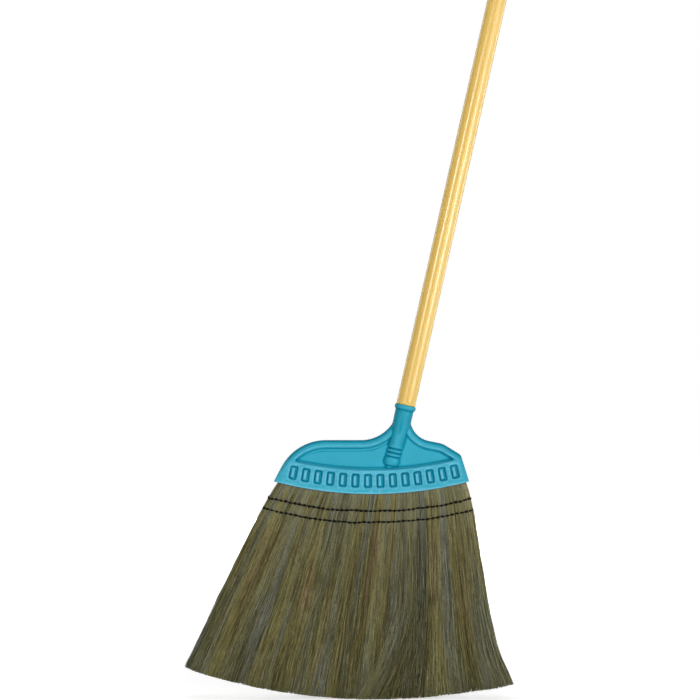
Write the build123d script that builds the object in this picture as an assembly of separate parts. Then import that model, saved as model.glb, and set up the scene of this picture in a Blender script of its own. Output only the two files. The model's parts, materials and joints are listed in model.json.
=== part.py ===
from build123d import *
from math import atan2, cos, degrees, hypot, radians, sin, sqrt, tan
import os

os.makedirs("parts", exist_ok=True)

# All sizes are in millimetres and degrees. The head is drawn with the lowest point of
# the cap's lip at the origin, X across, Y from front to back and Z up. Each piece is
# moved to the floor frame when it is saved.

# Handle: a turned stick whose lower end is cut down to a spigot
HANDLE_DIAMETER = 22.0
HANDLE_LENGTH = 1200.0
HANDLE_LEAN = 12.7
HANDLE_TOP_ROUND = 8.0
HANDLE_SHOULDER_CHAMFER = 0.8
SPIGOT_DIAMETER = 16.6
SPIGOT_LENGTH = 46.0
SPIGOT_CHAMFER = 1.5
HANG_HOLE_DIAMETER = 7.0
HANG_HOLE_DROP = 40.0

# Socket: collar, sleeve, ring grooves and rounded nose, all on the handle's axis
SOCKET_FOOT_X = 23.3
SOCKET_WALL = 1.9
SOCKET_FLOOR = 4.0
SOCKET_CLEARANCE = 0.15
COLLAR_DIAMETER = 25.0
COLLAR_HEIGHT = 6.5
COLLAR_ROUND = 1.5
SLEEVE_TAPER = 0.5
NOSE_LENGTH = 13.0
NOSE_TIP_DIAMETER = 8.0
RING_COUNT = 3
RING_PITCH = 4.5
RING_GROOVE_WIDTH = 1.6
RING_GROOVE_DEPTH = 0.8

# Cap outline, seen from the front
CAP_WIDTH = 224.0
LIP_RADIUS = 444.0
LEFT_SIDE_ANGLE = 27.5
RIGHT_SIDE_ANGLE = 17.0
LEFT_SHOULDER_HEIGHT = 61.5
RIGHT_SHOULDER_HEIGHT = 53.0
RIGHT_SHOULDER_FALL = 11.3
LEFT_CORNER_ROUND = 46.0
RIGHT_CORNER_ROUND = 25.0
LEFT_NECK_ROUND = 30.0
RIGHT_NECK_ROUND = 20.0
NECK_INSET = 1.6

# Cap thickness, rim, panels and the channel that takes the grass
MOUTH_DEPTH = 30.0
TOP_DEPTH = 17.0
CAP_WALL = 2.4
RIM_WIDTH = 9.0
RIM_ROUND = 2.0
PANEL_DEPTH = 10.0
PANEL_RISE = 30.0
PANEL_CORNER_ROUND = 3.0
HOLLOW_INSET = 2.5

# Arched pockets along the rail, each with a raised bar
POCKET_COUNT = 14
POCKET_RISE = 7.5
POCKET_WIDTH = 9.4
POCKET_HEIGHT = 15.6
POCKET_ROUND = 3.6
POCKET_CUT = 1.4
POCKET_LEFT_MARGIN = 7.3
POCKET_RIGHT_MARGIN = 3.3
BAR_WIDTH = 4.0
BAR_HEIGHT = 10.2
BAR_ROUND = 1.2

# Screw that keeps the spigot in the socket, driven from the rear
SCREW_DROP = 20.0
SCREW_DIAMETER = 3.5
SCREW_LENGTH = 15.0
SCREW_POINT_LENGTH = 3.0
SCREW_POINT_DIAMETER = 0.4
SCREW_HEAD_DIAMETER = 7.0
SCREW_HEAD_HEIGHT = 2.4
SCREW_HEAD_ROUND = 1.2
SCREW_CLEARANCE = 0.15
PILOT_CLEARANCE = 0.03
CROSS_WIDTH = 0.9
CROSS_LENGTH = 4.0
CROSS_CUT = 1.3
SCREW_BOSS_MARGIN = 1.2
SCREW_BOSS_STAND = 0.6

# Grass: hanks side by side, each a butt of pressed stems with strands below it
HANK_COUNT = 14
STRAND_COLUMNS = 8
STRAND_ROWS = 4
ROW_STAGGER = 0.25
GRASS_LENGTH = 236.0
LEFT_SPREAD = 25.9
RIGHT_SPREAD = 9.3
RIGHT_FLARE = 14.0
FLARE_SHARE = 0.25
KNEE_DROP = 160.0
BUTT_HEIGHT = 19.5
BUTT_GAP = 0.3
PACK_CLEARANCE = 0.15
STRAND_EMBED = 2.0
THREAD_LANE = 2.0
STRAND_WIDTH = 1.15
STRAND_DEPTH = 2.9
KNEE_WIDTH = 2.2
KNEE_DEPTH = 4.6
TIP_WIDTH = 1.8
TIP_DEPTH = 2.6
STRAND_EDGE = 0.15
WAIST_ROW_SPREAD = 18.0
KNEE_ROW_SPREAD = 27.0
TIP_ROW_SPREAD = 42.0
FLOOR_CUT = 0.5

# Glue, band and stitching
GLUE_THICKNESS = 2.0
BAND_THICKNESS = 0.9
BAND_HEIGHT = 9.0
BAND_DROP = 5.0
BAND_CLEARANCE = 0.1
BAND_CUT_MARGIN = 1.0
UPPER_ROW_DROP = 19.5
ROW_SPACING = 13.0
THREAD_DIAMETER = 1.2
CROSS_THREAD_DIAMETER = 0.9
KNOT_DIAMETER = 2.2
KNOT_TURN = 45.0
THREAD_CLEARANCE = 0.15

# Sizes that follow from the ones above
LEAN = radians(HANDLE_LEAN)
SOCKET_BORE_RADIUS = SPIGOT_DIAMETER / 2 + SOCKET_CLEARANCE
SLEEVE_RADIUS = SOCKET_BORE_RADIUS + SOCKET_WALL
SLEEVE_FOOT_RADIUS = SLEEVE_RADIUS - SLEEVE_TAPER
SLEEVE_LENGTH = SPIGOT_LENGTH + SOCKET_FLOOR
NOSE_START = SLEEVE_LENGTH + (RING_COUNT - 1) * RING_PITCH + RING_GROOVE_WIDTH
SOCKET_LENGTH = NOSE_START + NOSE_LENGTH
SOCKET_MOUTH_X = SOCKET_FOOT_X + SOCKET_LENGTH * sin(LEAN)
SOCKET_MOUTH_HEIGHT = PANEL_RISE + SOCKET_LENGTH * cos(LEAN)
LIP_CORNER = LIP_RADIUS - sqrt(LIP_RADIUS**2 - (CAP_WIDTH / 2) ** 2)
PANEL_RADIUS = LIP_RADIUS - PANEL_RISE
ROOF_RADIUS = PANEL_RADIUS + CAP_WALL
BUTT_TOP_RADIUS = ROOF_RADIUS + GLUE_THICKNESS
BUTT_FOOT_RADIUS = BUTT_TOP_RADIUS + BUTT_HEIGHT
STRAND_TOP_RADIUS = BUTT_FOOT_RADIUS - STRAND_EMBED
BAND_ROOM = BAND_THICKNESS + BAND_CLEARANCE + PACK_CLEARANCE
UPPER_ROW_RADIUS = LIP_RADIUS + UPPER_ROW_DROP
LOWER_ROW_RADIUS = UPPER_ROW_RADIUS + ROW_SPACING
DRAFT = atan2((MOUTH_DEPTH - TOP_DEPTH) / 2, LEFT_SHOULDER_HEIGHT)
FAN_HEIGHT = CAP_WIDTH / (tan(radians(LEFT_SPREAD)) + tan(radians(RIGHT_SPREAD)))
FAN_APEX_X = -CAP_WIDTH / 2 + FAN_HEIGHT * tan(radians(LEFT_SPREAD))
FAN_APEX_Z = LIP_CORNER + FAN_HEIGHT

SOCKET_MOUTH = Vector(SOCKET_MOUTH_X, 0, SOCKET_MOUTH_HEIGHT)
SOCKET_UP = Vector(sin(LEAN), 0, cos(LEAN))
SOCKET_ACROSS = Vector(cos(LEAN), 0, -sin(LEAN))
SOCKET_FRAME = Plane(SOCKET_MOUTH, x_dir=SOCKET_ACROSS, z_dir=SOCKET_UP)
SOCKET_SECTION = Plane(SOCKET_MOUTH, x_dir=SOCKET_ACROSS, z_dir=(0, -1, 0))
SOCKET_AXIS = Axis(SOCKET_MOUTH, SOCKET_UP)


def lip_arc(radius):
    """Disc about the centre of the lip's arc, in the front view."""
    return Pos(0, LIP_RADIUS) * Circle(radius)


def lip_point(radius, angle):
    """Front-view point at a radius and an angle about the centre of the lip's arc."""
    return radius * sin(angle), LIP_RADIUS - radius * cos(angle)


def along_to_arc(start, direction, radius):
    """Front-view point where a downward line meets an arc about the lip's centre."""
    across = start[0]
    below = start[1] - LIP_RADIUS
    half = across * direction[0] + below * direction[1]
    reach = -half + sqrt(half**2 - across**2 - below**2 + radius**2)
    return start[0] + reach * direction[0], start[1] + reach * direction[1]


def side_point(height, side, inset=0.0):
    """Point on the cap's left (-1) or right (+1) side line, moved in by a wall."""
    angle = radians(LEFT_SIDE_ANGLE if side < 0 else RIGHT_SIDE_ANGLE)
    run_in = (height - LIP_CORNER) * tan(angle) + inset / cos(angle)
    return side * (CAP_WIDTH / 2 - run_in), height


def side_angle(radius, side, inset):
    """Angle about the lip's centre at which the cap's side line meets an arc."""
    slope = radians(LEFT_SIDE_ANGLE if side < 0 else RIGHT_SIDE_ANGLE)
    start = side_point(LEFT_SHOULDER_HEIGHT, side, inset)
    x, z = along_to_arc(start, (side * sin(slope), -cos(slope)), radius)
    return atan2(x, LIP_RADIUS - z)


def pack_angle(share):
    """Angle about the lip's centre at a share of the way across the grass butts."""
    left = side_angle(BUTT_TOP_RADIUS, -1, CAP_WALL + BAND_ROOM)
    right = side_angle(BUTT_TOP_RADIUS, 1, CAP_WALL + BAND_ROOM)
    return left + share * (right - left)


def butt_depth():
    """Depth of the butts that leaves room for the band at the drafted channel's ends."""
    x, height = lip_point(BUTT_TOP_RADIUS + BAND_DROP, pack_angle(0))
    channel = MOUTH_DEPTH - 2 * CAP_WALL / cos(DRAFT) - 2 * height * tan(DRAFT)
    return channel - 2 * BAND_ROOM


def socket_line(height, offset):
    """Front-view X of a line beside the socket's axis, at a height."""
    return SOCKET_MOUTH_X + (height - SOCKET_MOUTH_HEIGHT) * tan(LEAN) + offset / cos(LEAN)


BUTT_DEPTH = butt_depth()
ROOT_ROW_SPREAD = BUTT_DEPTH - STRAND_DEPTH - 2 * STRAND_EDGE


def rounded(sketch, corner, radius):
    """The sketch with its vertex nearest to a corner rounded."""
    return fillet(sketch.vertices().sort_by_distance((*corner, 0))[0], radius)


def cap_outline():
    """Front outline of the cap, with a neck that ends inside the socket's sleeve."""
    neck = SLEEVE_FOOT_RADIUS - NECK_INSET
    left_lip = (-CAP_WIDTH / 2, LIP_CORNER)
    right_lip = (CAP_WIDTH / 2, LIP_CORNER)
    left_corner = side_point(LEFT_SHOULDER_HEIGHT, -1)
    right_corner = side_point(RIGHT_SHOULDER_HEIGHT, 1)
    left_neck = (socket_line(LEFT_SHOULDER_HEIGHT, -neck), LEFT_SHOULDER_HEIGHT)
    fall = tan(radians(RIGHT_SHOULDER_FALL))
    lift = right_corner[0] - socket_line(0, neck)
    neck_height = (RIGHT_SHOULDER_HEIGHT + fall * lift) / (1 + fall * tan(LEAN))
    right_neck = (socket_line(neck_height, neck), neck_height)
    neck_top = SOCKET_MOUTH_HEIGHT - COLLAR_HEIGHT
    sides = Polyline(
        right_lip,
        right_corner,
        right_neck,
        (socket_line(neck_top, neck), neck_top),
        (socket_line(neck_top, -neck), neck_top),
        left_neck,
        left_corner,
        left_lip,
    )
    outline = make_face([ThreePointArc(left_lip, (0, 0), right_lip), *sides.edges()])
    outline = rounded(outline, left_corner, LEFT_CORNER_ROUND)
    outline = rounded(outline, right_corner, RIGHT_CORNER_ROUND)
    outline = rounded(outline, left_neck, LEFT_NECK_ROUND)
    return rounded(outline, right_neck, RIGHT_NECK_ROUND)


def wedge(inset):
    """Prism between the cap's drafted front and rear faces, both moved in by a wall."""
    low = -MOUTH_DEPTH
    high = SOCKET_MOUTH_HEIGHT
    foot = MOUTH_DEPTH / 2 - inset / cos(DRAFT) - low * tan(DRAFT)
    head = MOUTH_DEPTH / 2 - inset / cos(DRAFT) - high * tan(DRAFT)
    profile = Polygon((-foot, low), (foot, low), (head, high), (-head, high), align=None)
    return extrude(Plane.YZ * profile, CAP_WIDTH, both=True)


def panel_outline(outline, inset, radius):
    """Region inside the rim and above an arc, with its two lower corners rounded."""
    panel = offset(outline, -RIM_WIDTH - inset) & lip_arc(radius)
    for side in (-1, 1):
        corner = lip_point(radius, side_angle(radius, side, RIM_WIDTH + inset))
        panel = rounded(panel, corner, PANEL_CORNER_ROUND)
    return panel


def on_rim(edge):
    """Whether an edge of the cap's body runs along its front or rear outline, above the lip."""
    middle = edge.center()
    above_lip = hypot(middle.X, LIP_RADIUS - middle.Z) < LIP_RADIUS - RIM_ROUND
    return above_lip and abs(middle.Y) > RIM_ROUND


def both_faces(tool):
    """A front tool together with its mirror image at the rear."""
    return tool + mirror(tool, about=Plane.XZ)


def pockets():
    """Arched pockets in the front rail, each with its bar left standing."""
    middle = LIP_RADIUS - POCKET_RISE - POCKET_HEIGHT / 2
    first = side_angle(middle, -1, POCKET_LEFT_MARGIN)
    last = side_angle(middle, 1, POCKET_RIGHT_MARGIN)
    pitch = (last - first) / POCKET_COUNT
    arch = RectangleRounded(POCKET_WIDTH, POCKET_HEIGHT, POCKET_ROUND)
    pocket = arch - RectangleRounded(BAR_WIDTH, BAR_HEIGHT, BAR_ROUND)
    centre = Pos(0, LIP_RADIUS)
    turns = [degrees(first + (i + 0.5) * pitch) for i in range(POCKET_COUNT)]
    pattern = [centre * Rot(0, 0, turn) * Pos(0, -middle) * pocket for turn in turns]
    front = Plane((0, -MOUTH_DEPTH / 2, 0), x_dir=(1, 0, 0), z_dir=(0, -cos(DRAFT), sin(DRAFT)))
    return [extrude(front * shape, -POCKET_CUT) for shape in pattern]


def socket_body():
    """Solid of revolution of the collar, sleeve, ring grooves and nose."""
    collar = COLLAR_DIAMETER / 2
    grooves = []
    for i in range(RING_COUNT):
        top = -SLEEVE_LENGTH - i * RING_PITCH
        grooves += [
            (SLEEVE_FOOT_RADIUS, top),
            (SLEEVE_FOOT_RADIUS - RING_GROOVE_DEPTH, top - RING_GROOVE_WIDTH / 2),
            (SLEEVE_FOOT_RADIUS, top - RING_GROOVE_WIDTH),
        ]
    wall = Polyline(
        (0, 0),
        (collar - COLLAR_ROUND, 0),
        (collar, -COLLAR_ROUND),
        (collar, -COLLAR_HEIGHT + COLLAR_ROUND),
        (collar - COLLAR_ROUND, -COLLAR_HEIGHT),
        (SLEEVE_RADIUS, -COLLAR_HEIGHT),
        *grooves,
    )
    tip = NOSE_TIP_DIAMETER / 2
    foot = -SOCKET_LENGTH
    nose = TangentArc((SLEEVE_FOOT_RADIUS, -NOSE_START), (tip, foot), tangent=(0, -1))
    close = Polyline((tip, foot), (0, foot), (0, 0))
    profile = make_face([*wall.edges(), nose, *close.edges()])
    return revolve(SOCKET_SECTION * profile, SOCKET_AXIS)


def screw_frame(stand):
    """Frame on the screw's axis at a distance behind the socket's axis, Z to the rear."""
    centre = SOCKET_MOUTH - SOCKET_UP * SCREW_DROP
    return Plane(centre + Vector(0, stand, 0), x_dir=SOCKET_ACROSS, z_dir=(0, 1, 0))


SCREW_SEAT = SLEEVE_RADIUS + SCREW_BOSS_STAND
STANDING = Align.CENTER, Align.CENTER, Align.MIN
HANGING = Align.CENTER, Align.CENTER, Align.MAX


def broom_cap():
    """One moulding: rimmed cap with panels, pockets, grass channel and handle socket."""
    outline = cap_outline()
    body = extrude(Plane.XZ * outline, MOUTH_DEPTH, both=True) & wedge(0)
    body = fillet([edge for edge in body.edges() if on_rim(edge)], RIM_ROUND)
    panel = panel_outline(outline, 0, PANEL_RADIUS)
    body -= both_faces(extrude(Plane.XZ.offset(PANEL_DEPTH / 2) * panel, MOUTH_DEPTH))
    cuts = pockets()
    body -= cuts + [mirror(cut, about=Plane.XZ) for cut in cuts]
    low = -MOUTH_DEPTH
    mouth = Polygon(
        side_point(low, -1, CAP_WALL),
        side_point(low, 1, CAP_WALL),
        side_point(LEFT_SHOULDER_HEIGHT, 1, CAP_WALL),
        side_point(LEFT_SHOULDER_HEIGHT, -1, CAP_WALL),
        align=None,
    )
    channel = mouth - lip_arc(ROOF_RADIUS)
    body -= extrude(Plane.XZ * channel, MOUTH_DEPTH, both=True) & wedge(CAP_WALL)
    hollow = panel_outline(outline, HOLLOW_INSET, BUTT_TOP_RADIUS)
    body -= extrude(Plane.XZ * hollow, PANEL_DEPTH / 2 - CAP_WALL, both=True)
    body += socket_body()
    boss_radius = SCREW_HEAD_DIAMETER / 2 + SCREW_BOSS_MARGIN
    body += screw_frame(SCREW_SEAT) * Cylinder(boss_radius, SCREW_SEAT, align=HANGING)
    bore_depth = SPIGOT_LENGTH + SOCKET_CLEARANCE
    body -= SOCKET_FRAME * Cylinder(SOCKET_BORE_RADIUS, bore_depth, align=HANGING)
    hole = SCREW_DIAMETER / 2 + SCREW_CLEARANCE
    body -= screw_frame(0) * Cylinder(hole, SCREW_SEAT, align=STANDING)
    return body


def handle():
    """Turned stick with a spigot below, a rounded top and a cross-drilled hang hole."""
    radius = HANDLE_DIAMETER / 2
    spigot = SPIGOT_DIAMETER / 2
    length = HANDLE_LENGTH - SPIGOT_LENGTH
    flank = Polyline(
        (0, length),
        (0, -SPIGOT_LENGTH),
        (spigot - SPIGOT_CHAMFER, -SPIGOT_LENGTH),
        (spigot, -SPIGOT_LENGTH + SPIGOT_CHAMFER),
        (spigot, 0),
        (radius - HANDLE_SHOULDER_CHAMFER, 0),
        (radius, HANDLE_SHOULDER_CHAMFER),
        (radius, length),
        (0, length),
    )
    profile = make_face(flank.edges())
    profile = rounded(profile, (radius, length), HANDLE_TOP_ROUND)
    stick = revolve(SOCKET_SECTION * profile, SOCKET_AXIS)
    hole = Cylinder(HANG_HOLE_DIAMETER / 2, 2 * HANDLE_DIAMETER)
    stick -= SOCKET_FRAME * Pos(0, 0, length - HANG_HOLE_DROP) * Rot(90, 0, 0) * hole
    pilot = SCREW_DIAMETER / 2 + PILOT_CLEARANCE
    foot = SCREW_SEAT - SCREW_LENGTH
    stick -= screw_frame(foot) * Cylinder(pilot, SCREW_LENGTH, align=STANDING)
    return stick


def handle_screw():
    """Pan-head wood screw with a cross recess and a point."""
    shank = SCREW_LENGTH - SCREW_POINT_LENGTH
    body = Cylinder(SCREW_DIAMETER / 2, shank, align=HANGING)
    point = Cone(SCREW_POINT_DIAMETER / 2, SCREW_DIAMETER / 2, SCREW_POINT_LENGTH, align=HANGING)
    body += Pos(0, 0, -shank) * point
    head = Cylinder(SCREW_HEAD_DIAMETER / 2, SCREW_HEAD_HEIGHT, align=STANDING)
    body += fillet(head.edges().sort_by(Axis.Z)[-1], SCREW_HEAD_ROUND)
    bottom = SCREW_HEAD_HEIGHT - CROSS_CUT
    for turn in (0, 90):
        slot = Box(CROSS_WIDTH, CROSS_LENGTH, CROSS_CUT, align=STANDING)
        body -= Pos(0, 0, bottom) * Rot(0, 0, turn) * slot
    return screw_frame(SCREW_SEAT) * body


def sector(inner, outer, left, right, depth):
    """Arched block between two radii and two angles about the lip's centre."""
    ring = lip_arc(outer) - lip_arc(inner)
    reach = 2 * outer
    blade = Polygon(
        (0, LIP_RADIUS),
        lip_point(reach, left),
        lip_point(reach, right),
        align=None,
    )
    return extrude(Plane.XZ * (ring & blade), depth / 2, both=True)


def spread_angle(share):
    """Angle of a strand from upright, at a share of the way across the fan."""
    return radians(share * (LEFT_SPREAD + RIGHT_SPREAD) - LEFT_SPREAD)


def fan_point(share, radius, drop=0.0):
    """Front-view point of a strand where it meets an arc, or a drop further along it."""
    angle = spread_angle(share)
    x, z = along_to_arc((FAN_APEX_X, FAN_APEX_Z), (sin(angle), -cos(angle)), radius)
    return x + drop * sin(angle), z - drop * cos(angle)


def tip_point(share):
    """Front-view point of a strand's tip, with the flare of the right-hand strands."""
    x, z = fan_point(share, LIP_RADIUS, GRASS_LENGTH)
    flare = max(0.0, (share - 1 + FLARE_SHARE) / FLARE_SHARE)
    return x + RIGHT_FLARE * flare**2, z


def strand_shares(hank, column, row):
    """Shares of the way across the grass of one strand, at its root and at its tip.

    Alternate rows are staggered. The roots leave a lane for the thread beside each hank.
    """
    lane = THREAD_LANE * HANK_COUNT / CAP_WIDTH
    stagger = ROW_STAGGER if row % 2 else -ROW_STAGGER
    inside = (column + 0.5 + stagger) / STRAND_COLUMNS
    root = (hank + lane / 2 + inside * (1 - lane)) / HANK_COUNT
    return root, (hank + inside) / HANK_COUNT


def row_place(row, spread):
    """Distance of a strand row from the middle plane."""
    return (row / (STRAND_ROWS - 1) - 0.5) * spread


def strand(root_share, tip_share, row):
    """One four-sided wisp of grass, from inside its butt to its tip."""
    root = lip_point(STRAND_TOP_RADIUS, pack_angle(root_share))
    waist = fan_point(root_share, LOWER_ROW_RADIUS)
    knee = fan_point(tip_share, LIP_RADIUS, KNEE_DROP)
    tip_x, tip_z = tip_point(tip_share)
    stations = [
        (root, STRAND_WIDTH, STRAND_DEPTH, ROOT_ROW_SPREAD),
        (waist, STRAND_WIDTH, STRAND_DEPTH, WAIST_ROW_SPREAD),
        (knee, KNEE_WIDTH, KNEE_DEPTH, KNEE_ROW_SPREAD),
        ((tip_x, max(tip_z, FLOOR)), TIP_WIDTH, TIP_DEPTH, TIP_ROW_SPREAD),
    ]
    sections = [
        Pos(x, row_place(row, spread), z) * Rectangle(width, depth)
        for (x, z), width, depth, spread in stations
    ]
    return loft(sections, ruled=True)


def hank_strands(hank):
    """Every strand of a hank, as its shares across the grass and its row."""
    return [
        (*strand_shares(hank, column, row), row)
        for column in range(STRAND_COLUMNS)
        for row in range(STRAND_ROWS)
    ]


TIPS = [tip_point(tip) for hank in range(HANK_COUNT) for root, tip, row in hank_strands(hank)]
FLOOR = min(z for x, z in TIPS) + FLOOR_CUT
LEFT_END_X = min(x for x, z in TIPS) - TIP_WIDTH / 2
TOP_ROUND_X = SOCKET_MOUTH_X + (HANDLE_LENGTH - SPIGOT_LENGTH - HANDLE_TOP_ROUND) * sin(LEAN)
RIGHT_END_X = TOP_ROUND_X + (HANDLE_DIAMETER / 2 - HANDLE_TOP_ROUND) * cos(LEAN) + HANDLE_TOP_ROUND
ORIGIN_X = (LEFT_END_X + RIGHT_END_X) / 2


def grass_hank(hank):
    """Butt of pressed stems with its strands, the lowest trimmed flat at the floor."""
    gap = BUTT_GAP / 2 / BUTT_TOP_RADIUS
    left = pack_angle(hank / HANK_COUNT) + gap
    right = pack_angle((hank + 1) / HANK_COUNT) - gap
    butt = sector(BUTT_TOP_RADIUS, BUTT_FOOT_RADIUS, left, right, BUTT_DEPTH)
    return butt + [strand(*place) for place in hank_strands(hank)]


def glue_bed():
    """Set adhesive between the roof of the channel and the tops of the butts."""
    return sector(ROOF_RADIUS, BUTT_TOP_RADIUS, pack_angle(0), pack_angle(1), BUTT_DEPTH)


def root_band():
    """Flat strap round all the butts."""
    inner = BUTT_TOP_RADIUS + BAND_DROP
    outer = inner + BAND_HEIGHT
    slack = BAND_CLEARANCE / inner
    wrap = slack + BAND_THICKNESS / inner
    hole_depth = BUTT_DEPTH + 2 * BAND_CLEARANCE
    left = pack_angle(0)
    right = pack_angle(1)
    strap = sector(inner, outer, left - wrap, right + wrap, hole_depth + 2 * BAND_THICKNESS)
    hole_top = inner - BAND_CUT_MARGIN
    hole_foot = outer + BAND_CUT_MARGIN
    return strap - sector(hole_top, hole_foot, left - slack, right + slack, hole_depth)


def stitch_point(share, radius):
    """Point in the lane between two hanks where a stitch row crosses it, on the front face."""
    root = Vector(*lip_point(STRAND_TOP_RADIUS, pack_angle(share)))
    waist = Vector(*fan_point(share, LOWER_ROW_RADIUS))
    along = (radius - STRAND_TOP_RADIUS) / (LOWER_ROW_RADIUS - STRAND_TOP_RADIUS)
    point = root + (waist - root) * along
    spread = ROOT_ROW_SPREAD + (WAIST_ROW_SPREAD - ROOT_ROW_SPREAD) * along
    stand = spread / 2 + STRAND_DEPTH / 2 + THREAD_CLEARANCE + THREAD_DIAMETER / 2
    return Vector(point.X, -stand, point.Y)


def thread(start, end, diameter):
    """Straight length of thread between two points."""
    frame = Plane((start + end) / 2, z_dir=end - start)
    return frame * Cylinder(diameter / 2, (end - start).length)


def stitch_row(radius):
    """Black thread: runs in front and behind, knots, and a stitch through each lane."""
    front = [stitch_point(lane / HANK_COUNT, radius) for lane in range(HANK_COUNT + 1)]
    rear = [Vector(point.X, -point.Y, point.Z) for point in front]
    pieces = [thread(*pair, CROSS_THREAD_DIAMETER) for pair in zip(front, rear)]
    for face in (front, rear):
        pieces += [thread(*pair, THREAD_DIAMETER) for pair in zip(face, face[1:])]
        knot = Rot(0, 0, KNOT_TURN) * Sphere(KNOT_DIAMETER / 2)
        pieces += [Pos(point) * knot for point in face]
    return pieces[0] + pieces[1:]


def save(piece, name):
    """Move a piece to the floor frame and write it under its name."""
    placed = Pos(-ORIGIN_X, 0, -FLOOR) * piece
    export_step(placed, f"parts/{name}.step")
    box = placed.bounding_box()
    print(f"{name}: {len(placed.solids())} solid, {placed.volume:.0f} mm3, {box.min} to {box.max}")


save(handle(), "handle")
save(broom_cap(), "broom_cap")
save(handle_screw(), "handle_screw")
save(glue_bed(), "glue_bed")
save(root_band(), "root_band")
for hank in range(HANK_COUNT):
    save(grass_hank(hank), f"grass_hank_{hank + 1:02d}")
save(stitch_row(UPPER_ROW_RADIUS), "stitch_row_upper")
save(stitch_row(LOWER_ROW_RADIUS), "stitch_row_lower")
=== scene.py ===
# %% [markdown]
# # A grass broom
# A floor broom has a fan of dried grass, sewn flat by two rows of black thread. A moulded
# plastic cap holds the grass, and the cap's leaning socket holds a varnished stick.
# The CAD model comes in as a fixed frame, and each piece below is dressed round it.

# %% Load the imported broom
import json
import math
from functools import partial

import bmesh
import bpy
import numpy as np
from mathutils import Matrix, Vector


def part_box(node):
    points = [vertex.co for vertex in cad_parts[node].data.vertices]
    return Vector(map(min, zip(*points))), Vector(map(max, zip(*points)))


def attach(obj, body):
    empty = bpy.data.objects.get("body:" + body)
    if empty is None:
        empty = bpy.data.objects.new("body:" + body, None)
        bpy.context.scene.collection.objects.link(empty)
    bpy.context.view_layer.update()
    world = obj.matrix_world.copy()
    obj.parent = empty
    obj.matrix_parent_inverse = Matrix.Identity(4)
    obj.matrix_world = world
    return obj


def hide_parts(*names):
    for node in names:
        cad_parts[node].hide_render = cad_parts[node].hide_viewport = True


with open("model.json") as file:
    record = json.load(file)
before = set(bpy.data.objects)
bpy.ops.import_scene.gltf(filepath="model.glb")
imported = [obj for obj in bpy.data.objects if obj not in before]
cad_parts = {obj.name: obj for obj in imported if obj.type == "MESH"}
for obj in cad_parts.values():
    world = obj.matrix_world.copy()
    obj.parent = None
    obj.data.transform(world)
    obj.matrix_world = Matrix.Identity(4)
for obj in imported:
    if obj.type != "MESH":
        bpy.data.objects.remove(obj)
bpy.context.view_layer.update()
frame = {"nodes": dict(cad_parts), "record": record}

# %% [markdown]
# The head is drawn in millimetres from the lowest point of the cap's lip, because that
# is how a mould maker would draw it. Two values read from the frame put it in place:
# the middle of the cap and the height of its lip. The stick's axis comes from the
# clamp that the record states on it.

# %% Find the head and the stick
MM = 0.001
CAP_LOW, CAP_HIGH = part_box("broom_cap")
HEAD = np.array([(CAP_LOW.x + CAP_HIGH.x) / 2, 0.0, CAP_LOW.z])
GRIP = next(m for m in frame["record"]["mounts"] if m["name"] == "handle_grip")
GRIP_ABOVE_SOCKET = 600 * MM
STICK_UP = Vector(GRIP["axis"]).normalized()
SOCKET_MOUTH = Vector(GRIP["pos_m"]) - STICK_UP * GRIP_ABOVE_SOCKET
print("lip at", HEAD.round(4), "socket mouth at", [round(v, 4) for v in SOCKET_MOUTH])

# %% [markdown]
# Every material and every node group is wired by the same small function. It adds one
# node, sets its properties, fills or links its inputs, and returns an output. A node's
# kind is Blender's own name for it without the first word that its whole family shares,
# and an operation may follow it. Inputs are given by name, or in their order: for Map Range
# that is the value, the range it comes from and the range it goes to. With a tree filled
# in, the function is called paint for a material, grow for the grass and sew for the
# thread. A second function turns the sRGB hex colours that people read into the linear
# ones Blender uses.

# %% One function for nodes, one for colours
FAMILIES = ("GeometryNode", "ShaderNode", "FunctionNode", "")


def linear(colour):
    """Linear RGBA of an sRGB hex colour."""
    parts = [int(colour[i : i + 2], 16) / 255 for i in (1, 3, 5)]
    bent = [c / 12.92 if c <= 0.04045 else ((c + 0.055) / 1.055) ** 2.4 for c in parts]
    return (*bent, 1.0)


def add(tree, kind, inputs=(), out=None, stops=(), **settings):
    """Add a node with its settings, inputs and colour stops, and return an output of it."""
    kind, _, operation = kind.partition(" ")
    node = tree.nodes.new(next(f + kind for f in FAMILIES if hasattr(bpy.types, f + kind)))
    if operation:
        node.operation = operation
    for name, value in settings.items():
        setattr(node, name, value)
    for key, value in inputs.items() if isinstance(inputs, dict) else enumerate(inputs):
        named = [s for s in node.inputs if s.enabled and s.name == key]
        socket = named[0] if named else node.inputs[key]
        if isinstance(value, bpy.types.NodeSocket):
            tree.links.new(value, socket)
        else:
            socket.default_value = value
    for i, (place, colour) in enumerate(stops):
        ramp = node.color_ramp.elements
        element = ramp[i] if i < 2 else ramp.new(place)
        element.position = place
        element.color = linear(colour)
    shown = [s for s in node.outputs if s.enabled]
    return node.outputs[out] if out else shown[0] if shown else node


# %% [markdown]
# The pieces also share a few steps: an empty material to fill and the shader that ends it,
# an object that stands in the scene, a mesh drawn from points, the plain mesh that an
# object's modifiers give, and the finished piece, which rides on the broom and replaces
# the CAD node it stands for.

# %% Steps that every piece shares
def new_finish(name):
    """An empty material, and the function that adds nodes to it."""
    finish = bpy.data.materials.new(name)
    finish.use_nodes = True
    finish.node_tree.nodes.clear()
    return finish, partial(add, finish.node_tree)


def shade(finish, values):
    """End a material in its shader, with these values."""
    surface = add(finish.node_tree, "BsdfPrincipled", values)
    add(finish.node_tree, "OutputMaterial", {"Surface": surface})
    print("finish", finish.name)


def stand(name, data):
    """A new object in the scene."""
    thing = bpy.data.objects.new(name, data)
    bpy.context.scene.collection.objects.link(thing)
    return thing


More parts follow.
